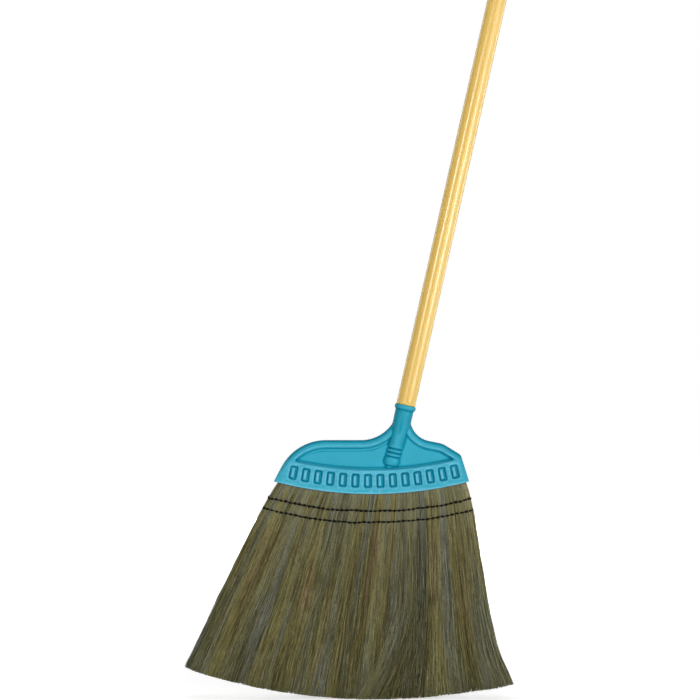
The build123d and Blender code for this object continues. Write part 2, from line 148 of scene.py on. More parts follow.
def drawn(name, points, edges=(), faces=()):
    """A mesh of points, edges and faces."""
    mesh = bpy.data.meshes.new(name)
    mesh.from_pydata(points, edges, faces)
    return mesh


def applied(thing, name):
    """The plain mesh that an object's modifiers give. The object itself goes."""
    graph = bpy.context.evaluated_depsgraph_get()
    mesh = bpy.data.meshes.new_from_object(thing.evaluated_get(graph), depsgraph=graph)
    bpy.data.meshes.remove(thing.data)
    mesh.name = name
    return mesh


def piece(name, mesh, finish, slot, *stands_for):
    """A finished piece at the origin that rides on the broom and replaces CAD nodes."""
    thing = stand(name, mesh)
    mesh.materials.clear()
    mesh.materials.append(finish)
    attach(thing, "root")
    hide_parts(*stands_for)
    print(name, len(mesh.polygons), "faces")


# %% [markdown]
# The cap is injection moulded polypropylene. Fresh from the mould it has a soft satin
# gloss, an even turquoise all through, faint lighter flow marks some centimetres long
# and a fine grit from the mould's blasted steel. The grit is about 0.3 mm on a real cap
# and is drawn at 0.8 mm, because finer grit doesn't show. A value on the mesh says how
# enclosed each point is, and the colour paints shade and highlights from it: painted
# shade makes the grooves deeper in colour, and painted highlights lighten some edges.

# %% Moulded polypropylene
FLOW_MARK, MOULD_GRIT = 35 * MM, 0.8 * MM
FLOW_TINT, GRIT_GLOSS = (0.3, 0.7, 0.96, 1.04), (0, 1, 0.36, 0.46)
# Colours of the painted shading: a pale painted highlight at the low end, the plain turquoise
# in the middle and painted shade towards the high end.
PAINTED_SHADING_TINTS = [
    (0.30, "#66BDD6"),
    (0.80, "#00788F"),
    (0.43, "#3AA6BE"),
    (0.53, "#38A5BD"),
    (0.60, "#1490A9"),
    (0.68, "#027F98"),
]
cap_plastic, paint = new_finish("Moulded turquoise polypropylene")
place = paint("TexCoord", out="Object")
flow = paint("TexNoise", {"Vector": place, "Scale": 1 / FLOW_MARK, "Detail": 2.0})
grit = paint("TexNoise", {"Vector": place, "Scale": 1 / MOULD_GRIT, "Detail": 1.0})
# The value on the mesh paints shade into the grooves and highlights onto some edges.
nook = paint("Attribute", out="Fac", attribute_name="nook")
tint = paint("ValToRGB", {"Fac": nook}, stops=PAINTED_SHADING_TINTS)
flow = paint("MapRange", (flow, *FLOW_TINT))
tint = paint("VectorMath MULTIPLY", (tint, flow))
gloss = paint("MapRange", (grit, *GRIT_GLOSS))
relief = paint("Bump", {"Height": grit, "Strength": 0.12, "Distance": 0.05 * MM})
satin = {"Base Color": tint, "Roughness": gloss, "IOR": 1.49, "Specular IOR Level": 0.04}
shade(cap_plastic, {**satin, "Normal": relief})

# %% [markdown]
# The cap is one moulding whose parts flow into each other, so it is made as a distance
# field: a grid of numbers that say how far each point is from the plastic. Rounded
# unions and cuts of simple shapes then give the fillets that a mould has. Extruded and
# bevelled meshes could do it too, but the fillets round the socket would be hard work.
# First come the front outline and the way to measure a distance from it.

# %% Outline of the cap, in millimetres from the lip
LIP_RADIUS = 444.0
CAP_WIDTH = (CAP_HIGH.x - CAP_LOW.x) / MM
LIP_CORNER = LIP_RADIUS - math.sqrt(LIP_RADIUS**2 - (CAP_WIDTH / 2) ** 2)
SIDE_SLOPE = {-1: math.tan(math.radians(27.5)), 1: math.tan(math.radians(17.0))}
LEAN = math.atan2(STICK_UP.x, STICK_UP.z)
MOUTH = (np.array(SOCKET_MOUTH) - HEAD) / MM
NECK, NECK_TOP = 8.25, MOUTH[2] - 8.0
LEFT_SHOULDER, RIGHT_SHOULDER = 61.5, 44.5
RIGHT_CREST, SHOULDER_FALL = (82.0, 57.3), math.tan(math.radians(11.3))
BELOW_LIP = -20.0
ARC_STEPS = 14


def side_x(height, side):
    """Where the cap's left (-1) or right (1) side is at a height."""
    return side * (CAP_WIDTH / 2 - (height - LIP_CORNER) * SIDE_SLOPE[side])


def neck_x(height, side):
    """Where the neck's left (-1), middle (0) or right (1) is at a height."""
    return MOUTH[0] + (height - MOUTH[2]) * math.tan(LEAN) + side * NECK / math.cos(LEAN)


def rounded_path(corners):
    """Outline through corners (x, z, radius), each rounded by an arc."""
    path = []
    for i, (x, z, radius) in enumerate(corners):
        corner = np.array([x, z])
        if radius == 0:
            path.append(corner)
            continue
        back, on = (np.array(corners[j % len(corners)][:2]) - corner for j in (i - 1, i + 1))
        back, on = back / np.hypot(*back), on / np.hypot(*on)
        half = math.acos(back @ on) / 2
        middle = corner + (back + on) / np.hypot(*(back + on)) * radius / math.sin(half)
        first, last = (corner + way * radius / math.tan(half) - middle for way in (back, on))
        start = math.atan2(first[1], first[0])
        turn = math.remainder(math.atan2(last[1], last[0]) - start, math.tau)
        for step in range(ARC_STEPS + 1):
            angle = start + turn * step / ARC_STEPS
            path.append(middle + radius * np.array([math.cos(angle), math.sin(angle)]))
    return path


def outline_distance(across, up, path):
    """Distance of each point from a closed outline, negative inside it."""
    far = np.full(across.shape, np.inf)
    inside = np.zeros(across.shape, bool)
    for (ax, az), (bx, bz) in zip(path, path[1:] + path[:1]):
        run, rise = bx - ax, bz - az
        along = np.clip(((across - ax) * run + (up - az) * rise) / (run**2 + rise**2), 0, 1)
        far = np.minimum(far, np.hypot(across - ax - along * run, up - az - along * rise))
        if rise:
            inside ^= ((az > up) != (bz > up)) & (across < ax + (up - az) * run / rise)
    return np.where(inside, -far, far)


fall_run = RIGHT_CREST[0] - neck_x(0, 1)
right_neck = (RIGHT_CREST[1] + SHOULDER_FALL * fall_run) / (1 + SHOULDER_FALL * math.tan(LEAN))
cap_path = rounded_path(
    [
        (side_x(BELOW_LIP, 1), BELOW_LIP, 0),
        (side_x(RIGHT_SHOULDER, 1), RIGHT_SHOULDER, 6.0),
        (*RIGHT_CREST, 24.0),
        (neck_x(right_neck, 1), right_neck, 26.0),
        (neck_x(NECK_TOP, 1), NECK_TOP, 0),
        (neck_x(NECK_TOP, -1), NECK_TOP, 0),
        (neck_x(LEFT_SHOULDER, -1), LEFT_SHOULDER, 42.0),
        (side_x(LEFT_SHOULDER, -1), LEFT_SHOULDER, 58.0),
        (side_x(BELOW_LIP, -1), BELOW_LIP, 0),
    ]
)
print("cap outline", len(cap_path), "points")

# %% [markdown]
# The socket is turned about the stick's axis: a collar at the mouth, a sleeve, three
# ring grooves and a round nose on a short foot. Its half section is an outline too, of
# radius against the distance below the mouth.

# %% Half section of the socket
COLLAR, COLLAR_HEIGHT = 12.3, 5.6
SLEEVE, SLEEVE_FOOT, SLEEVE_GAP = 10.6, 10.0, 1.6
RING, RING_START, RING_PITCH, RING_CUT, GROOVE_HALF = 10.3, 51.9, 4.8, 2.0, 0.2
RING_ROUND = ((0.4, 1.3), (0.0, 2.4), (0.4, 3.5))
NOSE, NOSE_MIDDLE, NOSE_HALF, NOSE_START, NOSE_SHARE = 10.4, 66.2, 5.6, 0.35, 1.3
FOOT, FOOT_END = 7.0, 77.0
SPIGOT, SPIGOT_LENGTH = 8.45, 46.15

socket_path = [(0.0, 0.0)]
for step in range(ARC_STEPS + 1):
    turn = (step / ARC_STEPS - 0.5) * math.pi
    radius = SLEEVE + (COLLAR - SLEEVE) * math.cos(turn)
    socket_path.append((radius, COLLAR_HEIGHT / 2 * (1 + math.sin(turn))))
socket_path.append((SLEEVE_FOOT, RING_START - SLEEVE_GAP))
for i in range(3):
    groove = RING_START + i * RING_PITCH
    socket_path.append((RING - RING_CUT, groove - GROOVE_HALF))
    socket_path.append((RING - RING_CUT, groove + GROOVE_HALF))
    if i < 2:
        socket_path += [(RING - lower, groove + down) for lower, down in RING_ROUND]
for step in range(ARC_STEPS + 1):
    turn = (step / ARC_STEPS - NOSE_START) * math.pi / NOSE_SHARE
    radius = FOOT + (NOSE - FOOT) * math.cos(turn)
    socket_path.append((radius, NOSE_MIDDLE + NOSE_HALF * math.sin(turn)))
socket_path += [(FOOT, FOOT_END), (0.0, FOOT_END)]
print("socket section", len(socket_path), "points")

# %% [markdown]
# Now the field itself, first as flat fields seen from the front. The panels lie inside the
# rim, above a curved rail. A thin ledge line runs along the left panel's upper edge. The
# rail carries fourteen arched pockets, each with a bar standing in it, on the front and on
# the rear.

# %% Flat fields of the rim and the panels
GRID, GRID_MARGIN, GRID_ABOVE = 0.62, 2.0, 6.0
MOUTH_DEPTH, TOP_DEPTH = 30.0, 17.0
RIM_WIDTH, PANEL_DEPTH, PANEL_RISE, PANEL_CORNER = 8.2, 8.5, 28.3, 3.0
LEDGE_INSET, LEDGE_CUT, LEDGE_HALF, LEDGE_START, LEDGE_FADE = 12.8, 0.8, 1.2, -76.0, 14.0


def meet(a, b, radius):
    """What two fields share, with a rounded edge."""
    corner = np.hypot(np.maximum(a + radius, 0), np.maximum(b + radius, 0))
    return np.minimum(np.maximum(a, b), -radius) + corner


def join(a, b, radius):
    """Two fields together, with a fillet."""
    return -meet(-a, -b, radius)


def rounded_box(across, up, size, radius):
    """Distance from a flat rounded rectangle."""
    over = [np.abs(v) - s / 2 + radius for v, s in zip((across, up), size)]
    outside = np.hypot(*(np.maximum(o, 0) for o in over))
    return outside + np.minimum(np.maximum(*over), 0) - radius


def grid_line(low, high):
    """Grid points from one end to the other."""
    return np.arange(low, high + GRID, GRID)


grid_x = grid_line(-CAP_WIDTH / 2 - GRID_MARGIN, CAP_WIDTH / 2 + GRID_MARGIN)
grid_y = grid_line(-MOUTH_DEPTH / 2 - GRID_MARGIN, MOUTH_DEPTH / 2 + GRID_MARGIN)
grid_z = grid_line(-GRID_MARGIN, MOUTH[2] + GRID_ABOVE)
x, z = np.meshgrid(grid_x, grid_z, indexing="ij")
rim = outline_distance(x, z, cap_path)
above_lip = LIP_RADIUS - np.hypot(x, z - LIP_RADIUS)
panel = meet(rim + RIM_WIDTH, PANEL_RISE - above_lip, PANEL_CORNER)
ledge = LEDGE_CUT * np.clip(1 - np.abs(rim + LEDGE_INSET) / LEDGE_HALF, 0, 1)
ledge *= np.clip((x - LEDGE_START) / LEDGE_FADE, 0, 1) * (x < neck_x(z, 0))
print("flat fields", rim.shape)

# %% Flat field of the pockets
POCKETS, POCKET_MIDDLE, POCKET_SIDE, BAR_SIDE = 14, 15.0, 4.0, 3.0
POCKET, POCKET_CORNER = np.array([9.4, 16.4]), 2.4
BAR, BAR_CORNER, BAR_LEFT = np.array([3.0, 10.6]), 0.8, 0.7
POCKET_MARGIN, LAST_POCKET_TURN = {-1: 9.5, 1: 6.6}, 0.2
pocket_line = LIP_RADIUS - POCKET_MIDDLE
height = LIP_RADIUS - pocket_line * math.cos(LAST_POCKET_TURN)
ends = []
for side, margin in POCKET_MARGIN.items():
    slope = math.cos(math.atan(SIDE_SLOPE[side]))
    ends.append(math.asin((side_x(height, side) - side * margin / slope) / pocket_line))
pockets = np.zeros(x.shape)
for i in range(POCKETS):
    turn = ends[0] + (i + 0.5) * (ends[1] - ends[0]) / POCKETS
    local_x = x * math.cos(turn) + (z - LIP_RADIUS) * math.sin(turn)
    local_z = (z - LIP_RADIUS) * math.cos(turn) - x * math.sin(turn) + pocket_line
    arch = rounded_box(local_x, local_z, POCKET, POCKET_CORNER)
    bar = rounded_box(local_x + BAR_LEFT, local_z, BAR, BAR_CORNER)
    pockets = np.maximum(pockets, np.minimum(-arch * POCKET_SIDE, bar * BAR_SIDE))
print("pockets from", round(ends[0], 3), "to", round(ends[1], 3), "rad")

# %% [markdown]
# Depth turns the flat fields into the moulding. It is deepest at the mouth and thins towards
# the top. Each cut and union is rounded by its own radius: wide along the rim, small in the
# pockets. The channel for the grass is hollowed out from below, and the socket, the screw's
# boss, the bore and the screw hole come last.

# %% Depth of the moulding
POCKET_CUT, BAND_COVER = 3.0, 9.7
RIM_THINNER, RIM_EASE, CROWN_EASE = 1.3, 10.0, 12.0
LIP_BEAD, RIM_BEAD, BEAD_START, BEAD_EASE = 2.2, 5.0, 6.0, 16.0
PANEL_DRAFT, DRAFT_DEPTH, PANEL_FLOOR, PANEL_EDGE, CROWN_EDGE = 0.4, 8.0, 0.6, 0.8, 0.6
WALL, WALL_SLOPE, WALL_MORE, ROOF_RISE, ROOF_ROUND, LIP_ROUND = 2.4, 0.3, 2.4, 27.6, 1.0, 0.8
flat = [a.astype(np.float32)[:, None, :] for a in (rim, above_lip, panel, ledge, pockets)]
rim, above_lip, panel, ledge, pockets = flat
depth = np.abs(grid_y).astype(np.float32)[None, :, None]
height = grid_z.astype(np.float32)
half_depth = MOUTH_DEPTH / 2 - height * (MOUTH_DEPTH - TOP_DEPTH) / 2 / LEFT_SHOULDER
channel = depth - half_depth
face = channel + RIM_THINNER * np.clip((above_lip - PANEL_RISE) / RIM_EASE, 0, 1)
groove = np.minimum(pockets, np.clip(half_depth - BAND_COVER, 0, POCKET_CUT))
crown = np.clip((above_lip - PANEL_RISE) / CROWN_EASE, 0, 1)
bead = LIP_BEAD + RIM_BEAD * np.clip((above_lip - BEAD_START) / BEAD_EASE, 0, 1)
cap = meet(meet(rim, face + groove, bead), -above_lip, LIP_ROUND)
panel = panel + PANEL_DRAFT * (DRAFT_DEPTH - depth)
recess = meet(panel, PANEL_DEPTH / 2 - ledge - depth, PANEL_FLOOR)
cap = meet(cap, -recess, PANEL_EDGE + CROWN_EDGE * crown)
skin = cap
wall = WALL + np.clip(WALL_SLOPE * above_lip, 0, WALL_MORE)
hollow = meet(rim + WALL, above_lip - ROOF_RISE, ROOF_ROUND)
cap = meet(cap, -meet(hollow, channel + wall, ROOF_ROUND), LIP_ROUND)
print("moulding", cap.shape)

# %% Socket, boss and bores
NOSE_BEND, NOSE_SHIFT, NOSE_NEAR, SOCKET_FAR = 30.0, 0.05, 18.0, 8.0
SCREW_DROP, SCREW_HOLE, BOSS, BOSS_REACH, BOSS_ROUND = 20.0, 1.9, 4.7, 10.95, 0.5
SOCKET_FILLET, BOSS_FILLET, BORE_ROUND = 0.6, 1.0, 0.5
grid = np.meshgrid(grid_x, grid_y, grid_z, indexing="ij")
from_mouth = [g.astype(np.float32) - m for g, m in zip(grid, MOUTH)]
down = -sum(v * u for v, u in zip(from_mouth, STICK_UP))
out = np.sqrt(np.maximum(sum(v * v for v in from_mouth) - down**2, 0))
across = from_mouth[0] * STICK_UP.z - from_mouth[2] * STICK_UP.x
nose_out = np.hypot(across + NOSE_SHIFT * np.maximum(down - NOSE_BEND, 0), from_mouth[1])
near = (nose_out < NOSE_NEAR) & (down > -SOCKET_FAR) & (down < FOOT_END + SOCKET_FAR)
socket = np.full(cap.shape, SOCKET_FAR, np.float32)
socket[near] = outline_distance(nose_out[near], down[near], socket_path)
from_screw = np.hypot(across, down - SCREW_DROP)
boss = meet(from_screw - BOSS, from_mouth[1] - BOSS_REACH, BOSS_ROUND)
boss = meet(boss, -from_mouth[1], BOSS_ROUND)
cap, skin = (join(join(f, socket, SOCKET_FILLET), boss, BOSS_FILLET) for f in (cap, skin))
cap = meet(cap, -np.maximum(out - SPIGOT, down - SPIGOT_LENGTH), BORE_ROUND)
cap = np.maximum(cap, -np.maximum(from_screw - SCREW_HOLE, -from_mouth[1]))
print("cap field", cap.shape, "inside", int((cap < 0).sum()))

# %% [markdown]
# A surface net turns the field into a mesh: one vertex in each grid cell that the
# surface crosses, at the mean of the crossings on the cell's edges, and one face across
# each grid edge that it cuts. Flat areas then need far fewer faces, so a Decimate
# modifier thins them. The long edges it leaves are divided again, so that the colours
# stored on the vertices stay even.

# %% Net the field into the cap's mesh
CAP_FACES, LONG_EDGE, DIVISIONS = 150000, 3 * MM, 5


def surface_net(field, axes):
    """Vertices and outward quads of the surface where a field is zero."""
    corner = np.stack(np.meshgrid((0, 1), (0, 1), (0, 1), indexing="ij"), -1).reshape(8, 3)
    inside = field < 0
    cells = tuple(n - 1 for n in field.shape)
    boxes = (tuple(slice(c, c + n) for c, n in zip(at, cells)) for at in corner)
    count = sum(inside[box].astype(np.int8) for box in boxes)
    where = np.argwhere((count > 0) & (count < 8))
    value = np.stack([field[tuple((where + c).T)] for c in corner], 1)
    total = np.zeros((len(where), 3))
    crossings = np.zeros(len(where))
    for a in range(8):
        for b in range(a + 1, 8):
            if np.abs(corner[a] - corner[b]).sum() != 1:
                continue
            cut = (value[:, a] < 0) != (value[:, b] < 0)
            share = value[cut, a] / (value[cut, a] - value[cut, b])
            total[cut] += corner[a] + share[:, None] * (corner[b] - corner[a])
            crossings[cut] += 1
    points = (where + total / crossings[:, None]) * GRID + [a[0] for a in axes]
    number = np.full(cells, -1)
    number[tuple(where.T)] = np.arange(len(where))
    quads = []
    for way in range(3):
        one, two = np.eye(3, dtype=int)[[(way + 1) % 3, (way + 2) % 3]]
        ahead = np.roll(inside, -1, way)
        edge = np.argwhere(inside != ahead)
        edge = edge[((edge >= (one + two)) & (edge < np.array(cells))).all(1)]
        ring = [number[tuple((edge - s).T)] for s in (one + two, two, 0 * one, one)]
        ring = np.stack(ring, 1)
        enters = inside[tuple(edge.T)]
        quads.append(np.where(enters[:, None], ring, ring[:, ::-1]))
    return points, np.concatenate(quads)


points, quads = surface_net(cap, (grid_x, grid_y, grid_z))
raw = stand("cap_net", drawn("cap_net", (points * MM + HEAD).tolist(), faces=quads.tolist()))
thin = raw.modifiers.new("Thin the flats", "DECIMATE")
thin.ratio = min(1.0, CAP_FACES / (2 * len(quads)))
cap_mesh = applied(raw, "cap_moulding")
shape = bmesh.new()
shape.from_mesh(cap_mesh)
for _ in range(DIVISIONS):
    long_edges = [e for e in shape.edges if e.calc_length() > LONG_EDGE]
    bmesh.ops.subdivide_edges(shape, edges=long_edges, cuts=1)
bmesh.ops.triangulate(shape, faces=shape.faces)
shape.to_mesh(cap_mesh)
shape.free()
cap_mesh.shade_smooth()
print("net of", len(quads), "quads")

# %% [markdown]
# The painted shading comes from the field too: blur the solid, and read the blur at each
# vertex. A flat face is half surrounded by plastic, a groove more than half, and an edge
# less, so the grooves get painted shade. Only edges that face the front or the rear keep a
# low value, which paints a highlight on them. The socket gets painted shade, most of all
# at its sides. The thin rail and the ridge of the rim get painted highlights, and the cap's
# outer edge painted shade. The field's slope also gives the shading normals, which keeps
# the thinned flats free of facets.

# %% Painted shade and highlights from how enclosed each point of the cap is
BLUR_CELLS, FLAT_NOOK, GROOVE_NOOK, RAIL_EASE = 2, 0.5, 0.55, 2.0
SOCKET_SHADE, RAIL_HIGHLIGHT, RIDGE_HIGHLIGHT, EDGE_SHADE = 0.12, 0.08, 0.08, 0.19
RIDGE_INSET, RIDGE_HALF, EDGE_FADE, FRONT_SHARE = 5.8, 2.2, 5.0, 0.36
solid = (skin < 0).astype(np.float32)
for axis in (0, 1, 2, 0, 1, 2):
    reach = range(-BLUR_CELLS, BLUR_CELLS + 1)
    solid = sum(np.roll(solid, step, axis) for step in reach) / len(reach)
spots = np.array([v.co for v in cap_mesh.vertices])
spots = ((spots - HEAD) / MM - [grid_x[0], grid_y[0], grid_z[0]]) / GRID
low = spots.astype(int)


def read_field(field):
    """Values of a field at the vertices, blended from the eight grid points round each."""
    value = np.zeros((len(spots), *field.shape[3:]))
    for corner in np.ndindex(2, 2, 2):
        weight = np.prod(np.where(corner, spots - low, 1 - (spots - low)), 1)
        value += (weight * field[tuple((low + corner).T)].T).T
    return value


slope = read_field(np.stack(np.gradient(cap), -1))
slope /= np.linalg.norm(slope, axis=1, keepdims=True)
cap_mesh.normals_split_custom_set_from_vertices(slope.tolist())
facing = slope[:, 1] ** 2
# Enclosure, from the blurred solid, paints shade into the grooves.
nook = read_field(solid)
# Edges keep a low value, a painted highlight, only where they face the front or the rear.
nook = np.where(nook < FLAT_NOOK, FLAT_NOOK - (FLAT_NOOK - nook) * facing, nook)
sleeve = np.clip(1 - read_field(socket), 0, 1)
rail = np.clip((PANEL_RISE - read_field(above_lip + 0 * cap)) / RAIL_EASE, 0, 1)
inset = -read_field(rim + 0 * cap)
ridge = np.clip(1 - np.abs(inset - RIDGE_INSET) / RIDGE_HALF, 0, 1) * (1 - rail) * facing
edge = np.clip(1 - inset / EDGE_FADE, 0, 1)
# Painted highlights on the thin rail and on the ridge of the rim.
painted_highlight = np.where(nook < GROOVE_NOOK, RAIL_HIGHLIGHT * rail + RIDGE_HIGHLIGHT * ridge, 0)
nook -= painted_highlight * (1 - sleeve)
# Painted shade on the socket, most of all at its sides, and on the cap's outer edge.
nook += SOCKET_SHADE * sleeve * (1 - FRONT_SHARE * facing) + EDGE_SHADE * edge * (1 - sleeve)
cap_mesh.attributes.new("nook", "FLOAT", "POINT").data.foreach_set("value", nook)
print("nook from", nook.min().round(2), "to", nook.max().round(2))
piece("cap_moulding", cap_mesh, cap_plastic, "cap_plastic", "broom_cap")

# %% [markdown]
# The stick is a turned hardwood broom handle under a glossy yellow varnish. The eye sees
# a warm pale yellow, soft streaks of grain along it and two long reflections. The grain
# is noise stretched along the stick: about 3 mm wide and 120 mm long. A coat layer is
# the varnish, and the wood under it has no shine of its own.

# %% Varnished hardwood
GRAIN_WIDTH, GRAIN_LENGTH, GRAIN_GLOSS = 3 * MM, 120 * MM, (0, 1, 0.42, 0.34)
stick_wood, paint = new_finish("Varnished pale hardwood")
place = paint("TexCoord", out="Object")
turned = paint("Mapping", {"Vector": place, "Rotation": (0, -LEAN, 0)})
size = (1 / GRAIN_WIDTH, 1 / GRAIN_WIDTH, 1 / GRAIN_LENGTH)
long = paint("Mapping", {"Vector": turned, "Scale": size})
grain = paint("TexNoise", {"Vector": long, "Scale": 1.0, "Detail": 2.0})
grain_tints = [(0.25, "#DBB75C"), (0.75, "#E4C26A"), (0.5, "#E0BD62")]
tint = paint("ValToRGB", {"Fac": grain}, stops=grain_tints)
gloss = paint("MapRange", (grain, *GRAIN_GLOSS))
relief = paint("Bump", {"Height": grain, "Strength": 0.05, "Distance": 0.05 * MM})
wood = {"Base Color": tint, "Diffuse Roughness": 0.35, "Roughness": gloss, "Normal": relief}
varnish = {"Coat Weight": 0.58, "Coat Roughness": 0.22, "Coat IOR": 1.42}
shade(stick_wood, {**wood, "Specular IOR Level": 0.0, **varnish})

# %% [markdown]
# The stick itself is spun from its half section, as on a lathe. Its foot is cut down to
# a spigot that fills the socket, its top is rounded, and a hang hole is drilled across
# it near the top by a Boolean modifier. The drill is wider at both ends, which eases the
# hole's edges.

# %% Turned stick
STICK, STICK_ABOVE, STICK_RINGS, STICK_SIDES = 11.0, 1154.0, 12, 72
SPIGOT_RADIUS, SPIGOT_FOOT, SPIGOT_BEVEL = 8.3, -46.0, 1.5
SHOULDER = ((0.8, 0), (0.2, 0.25), (0, 0.8), (0, 1.6))
TOP_ROUND, TOP_STEPS, SHARP = 8.0, 8, math.radians(28)
HOLE_RADIUS, HOLE_DROP, HOLE_SIDES = 3.5, 40.0, 40
DRILL_WIDE, DRILL_REACH, DRILL_EASE = HOLE_RADIUS + 9.0, 20, 0.6


def turned_mesh(name, section, sides, frame_matrix):
    """Closed mesh spun from a half section of (radius, along) points."""
    shape = bmesh.new()
    line = [shape.verts.new((radius * MM, 0, along * MM)) for radius, along in section]
    edges = [shape.edges.new(pair) for pair in zip(line, line[1:])]
    lathe = {"axis": (0, 0, 1), "cent": (0, 0, 0), "angle": math.tau, "steps": sides}
    bmesh.ops.spin(shape, geom=line + edges, **lathe)
    bmesh.ops.remove_doubles(shape, verts=shape.verts, dist=0.01 * MM)
    bmesh.ops.recalc_face_normals(shape, faces=shape.faces)
    shape.transform(frame_matrix)
    mesh = bpy.data.meshes.new(name)
    shape.to_mesh(mesh)
    shape.free()
    return mesh


def axis_frame(origin, up):
    """Matrix that stands a turned shape on a point with its axis along a direction."""
    return Matrix.Translation(origin) @ Vector(up).to_track_quat("Z", "X").to_matrix().to_4x4()


section = [(0, SPIGOT_FOOT), (SPIGOT_RADIUS - SPIGOT_BEVEL, SPIGOT_FOOT)]
section += [(SPIGOT_RADIUS, SPIGOT_FOOT + SPIGOT_BEVEL), (SPIGOT_RADIUS, 0)]
section += [(STICK - less, along) for less, along in SHOULDER]
section += [(STICK, STICK_ABOVE * i / STICK_RINGS) for i in range(1, STICK_RINGS)]
for step in range(TOP_STEPS + 1):
    turn = step / TOP_STEPS * math.pi / 2
    radius = STICK - TOP_ROUND + TOP_ROUND * math.cos(turn)
    section.append((radius, STICK_ABOVE - TOP_ROUND + TOP_ROUND * math.sin(turn)))
section.append((0, STICK_ABOVE))
blank = turned_mesh("stick", section, STICK_SIDES, axis_frame(SOCKET_MOUTH, STICK_UP))
stick = stand("stick_blank", blank)
hole_centre = SOCKET_MOUTH + STICK_UP * (STICK_ABOVE - HOLE_DROP) * MM
drill_half = [(HOLE_RADIUS, STICK - DRILL_EASE), (DRILL_WIDE, DRILL_REACH), (0, DRILL_REACH)]
drill_section = [(radius, -along) for radius, along in drill_half[::-1]] + drill_half
bit = turned_mesh("drill", drill_section, HOLE_SIDES, axis_frame(hole_centre, (0, 1, 0)))
drill = stand("drill", bit)
cut = stick.modifiers.new("Hang hole", "BOOLEAN")
cut.object = drill
cut.operation = "DIFFERENCE"
cut.solver = "EXACT"
stick_mesh = applied(stick, "turned_stick")
bpy.data.objects.remove(drill)
stick_mesh.shade_smooth()
stick_mesh.set_sharp_from_angle(angle=SHARP)
piece("turned_stick", stick_mesh, stick_wood, "handle_wood", "handle")

# %% [markdown]
# Dried broom grass is a bundle of thin stems, and no two have the same colour: grey green
# where the stem stayed green, olive and straw where it ripened, brown where it weathered.
# One small map paints them all. A stem's U says how ripe it is and its V how pale, and
# both change slowly along the stem.

# %% Dried broom grass
FLECKS, FLECK_TINT = 16.0, (0.25, 0.75, 1.3, 2.9)
RIPE_TINTS = [
    (0.0, "#5B5C4D"),
    (1.0, "#6F5D3F"),
    (0.2, "#5B5B49"),
    (0.4, "#605E42"),
    (0.55, "#65613A"),
    (0.7, "#676036"),
    (0.82, "#685F3D"),
    (0.92, "#6B5D3D"),
]
PALE_TINTS = [(0.0, "#7A7962"), (1.0, "#F0F1FE"), (0.5, "#C6C6C4")]
stem_finish, paint = new_finish("Dried broom grass")
strip = paint("UVMap", uv_map="OFBake")
ripe = paint("SeparateXYZ", (strip,), "X")
colour = paint("ValToRGB", {"Fac": ripe}, stops=RIPE_TINTS)
pale = paint("ValToRGB", {"Fac": ripe.node.outputs["Y"]}, stops=PALE_TINTS)
flecks = paint("Mapping", {"Vector": strip, "Scale": (FLECKS, FLECKS, 1.0)})
noise = {"Vector": flecks, "Scale": 1.0, "Detail": 2.0}
flecks = paint("TexNoise", noise, noise_dimensions="2D")
flecks = paint("MapRange", (flecks, *FLECK_TINT))
for factor in (pale, flecks):
    colour = paint("VectorMath MULTIPLY", (colour, factor))
shade(stem_finish, {"Base Color": colour, "Roughness": 0.5, "Specular IOR Level": 0.16})

# %% [markdown]
# The stems all follow one pattern: up in the cap they are pressed into a narrow pack,
# they swell under the lip, the stitches pinch them flat, and below that the fan opens.
# The pattern stem is a line of seventeen points that carry those sizes as attributes, so
# the node group can read them.

# %% Pattern of one stem
STEM_STATIONS = [
    # below the lip, half depth, pinch towards the middle, thickness, flare, looseness
    (-24.0, 6.0, 0.945, 0.34, 0.0, 0.0),
    (-11.5, 6.8, 0.945, 0.34, 0.0, 0.0),
    (3.0, 12.1, 0.98, 0.36, 0.0, 0.05),
    (11.0, 11.3, 0.99, 0.36, 0.0, 0.08),
    (19.5, 10.3, 0.995, 0.36, 0.0, 0.10),
    (32.5, 10.8, 1.0, 0.36, 0.0, 0.15),
    (47.0, 12.1, 1.0, 0.37, -0.02, 0.26),
    (62.0, 13.2, 1.0, 0.38, -0.05, 0.36),
    (83.0, 14.3, 1.0, 0.38, -0.08, 0.48),
    (104.0, 15.4, 1.0, 0.38, -0.10, 0.6),
    (125.0, 16.4, 1.0, 0.38, -0.12, 0.7),
    (146.0, 17.3, 1.0, 0.38, -0.12, 0.78),
    (167.0, 18.2, 1.0, 0.37, -0.06, 0.84),
    (188.0, 19.2, 1.0, 0.36, 0.08, 0.9),
    (206.0, 20.1, 1.0, 0.34, 0.33, 0.97),
    (222.0, 20.8, 1.0, 0.30, 0.68, 1.0),
    (236.0, 21.3, 1.0, 0.22, 1.0, 1.0),
]
STEM_SIZES = ("below", "half_depth", "pinch", "thick", "flare", "loose")
STEM_UNITS = (MM, MM, 1.0, MM, 1.0, 1.0)
STEM_TOP, STEM_TIP = STEM_STATIONS[0][0], STEM_STATIONS[-1][0]
stem_points = [(0, 0, -s[0] * MM) for s in STEM_STATIONS]
stem_edges = [(i, i + 1) for i in range(len(stem_points) - 1)]
pattern_mesh = drawn("stem_pattern", stem_points, stem_edges)
columns = {}
for name, unit, values in zip(STEM_SIZES, STEM_UNITS, zip(*STEM_STATIONS)):
    columns[name] = [v * unit for v in values]
columns["along"] = [(s[0] - STEM_TOP) / (STEM_TIP - STEM_TOP) for s in STEM_STATIONS]
for name, values in columns.items():
    attribute = pattern_mesh.attributes.new("stem_" + name, "FLOAT", "POINT")
    attribute.data.foreach_set("value", values)
stem_pattern = stand("stem_pattern", pattern_mesh)
print("pattern stem of", len(stem_points), "points")

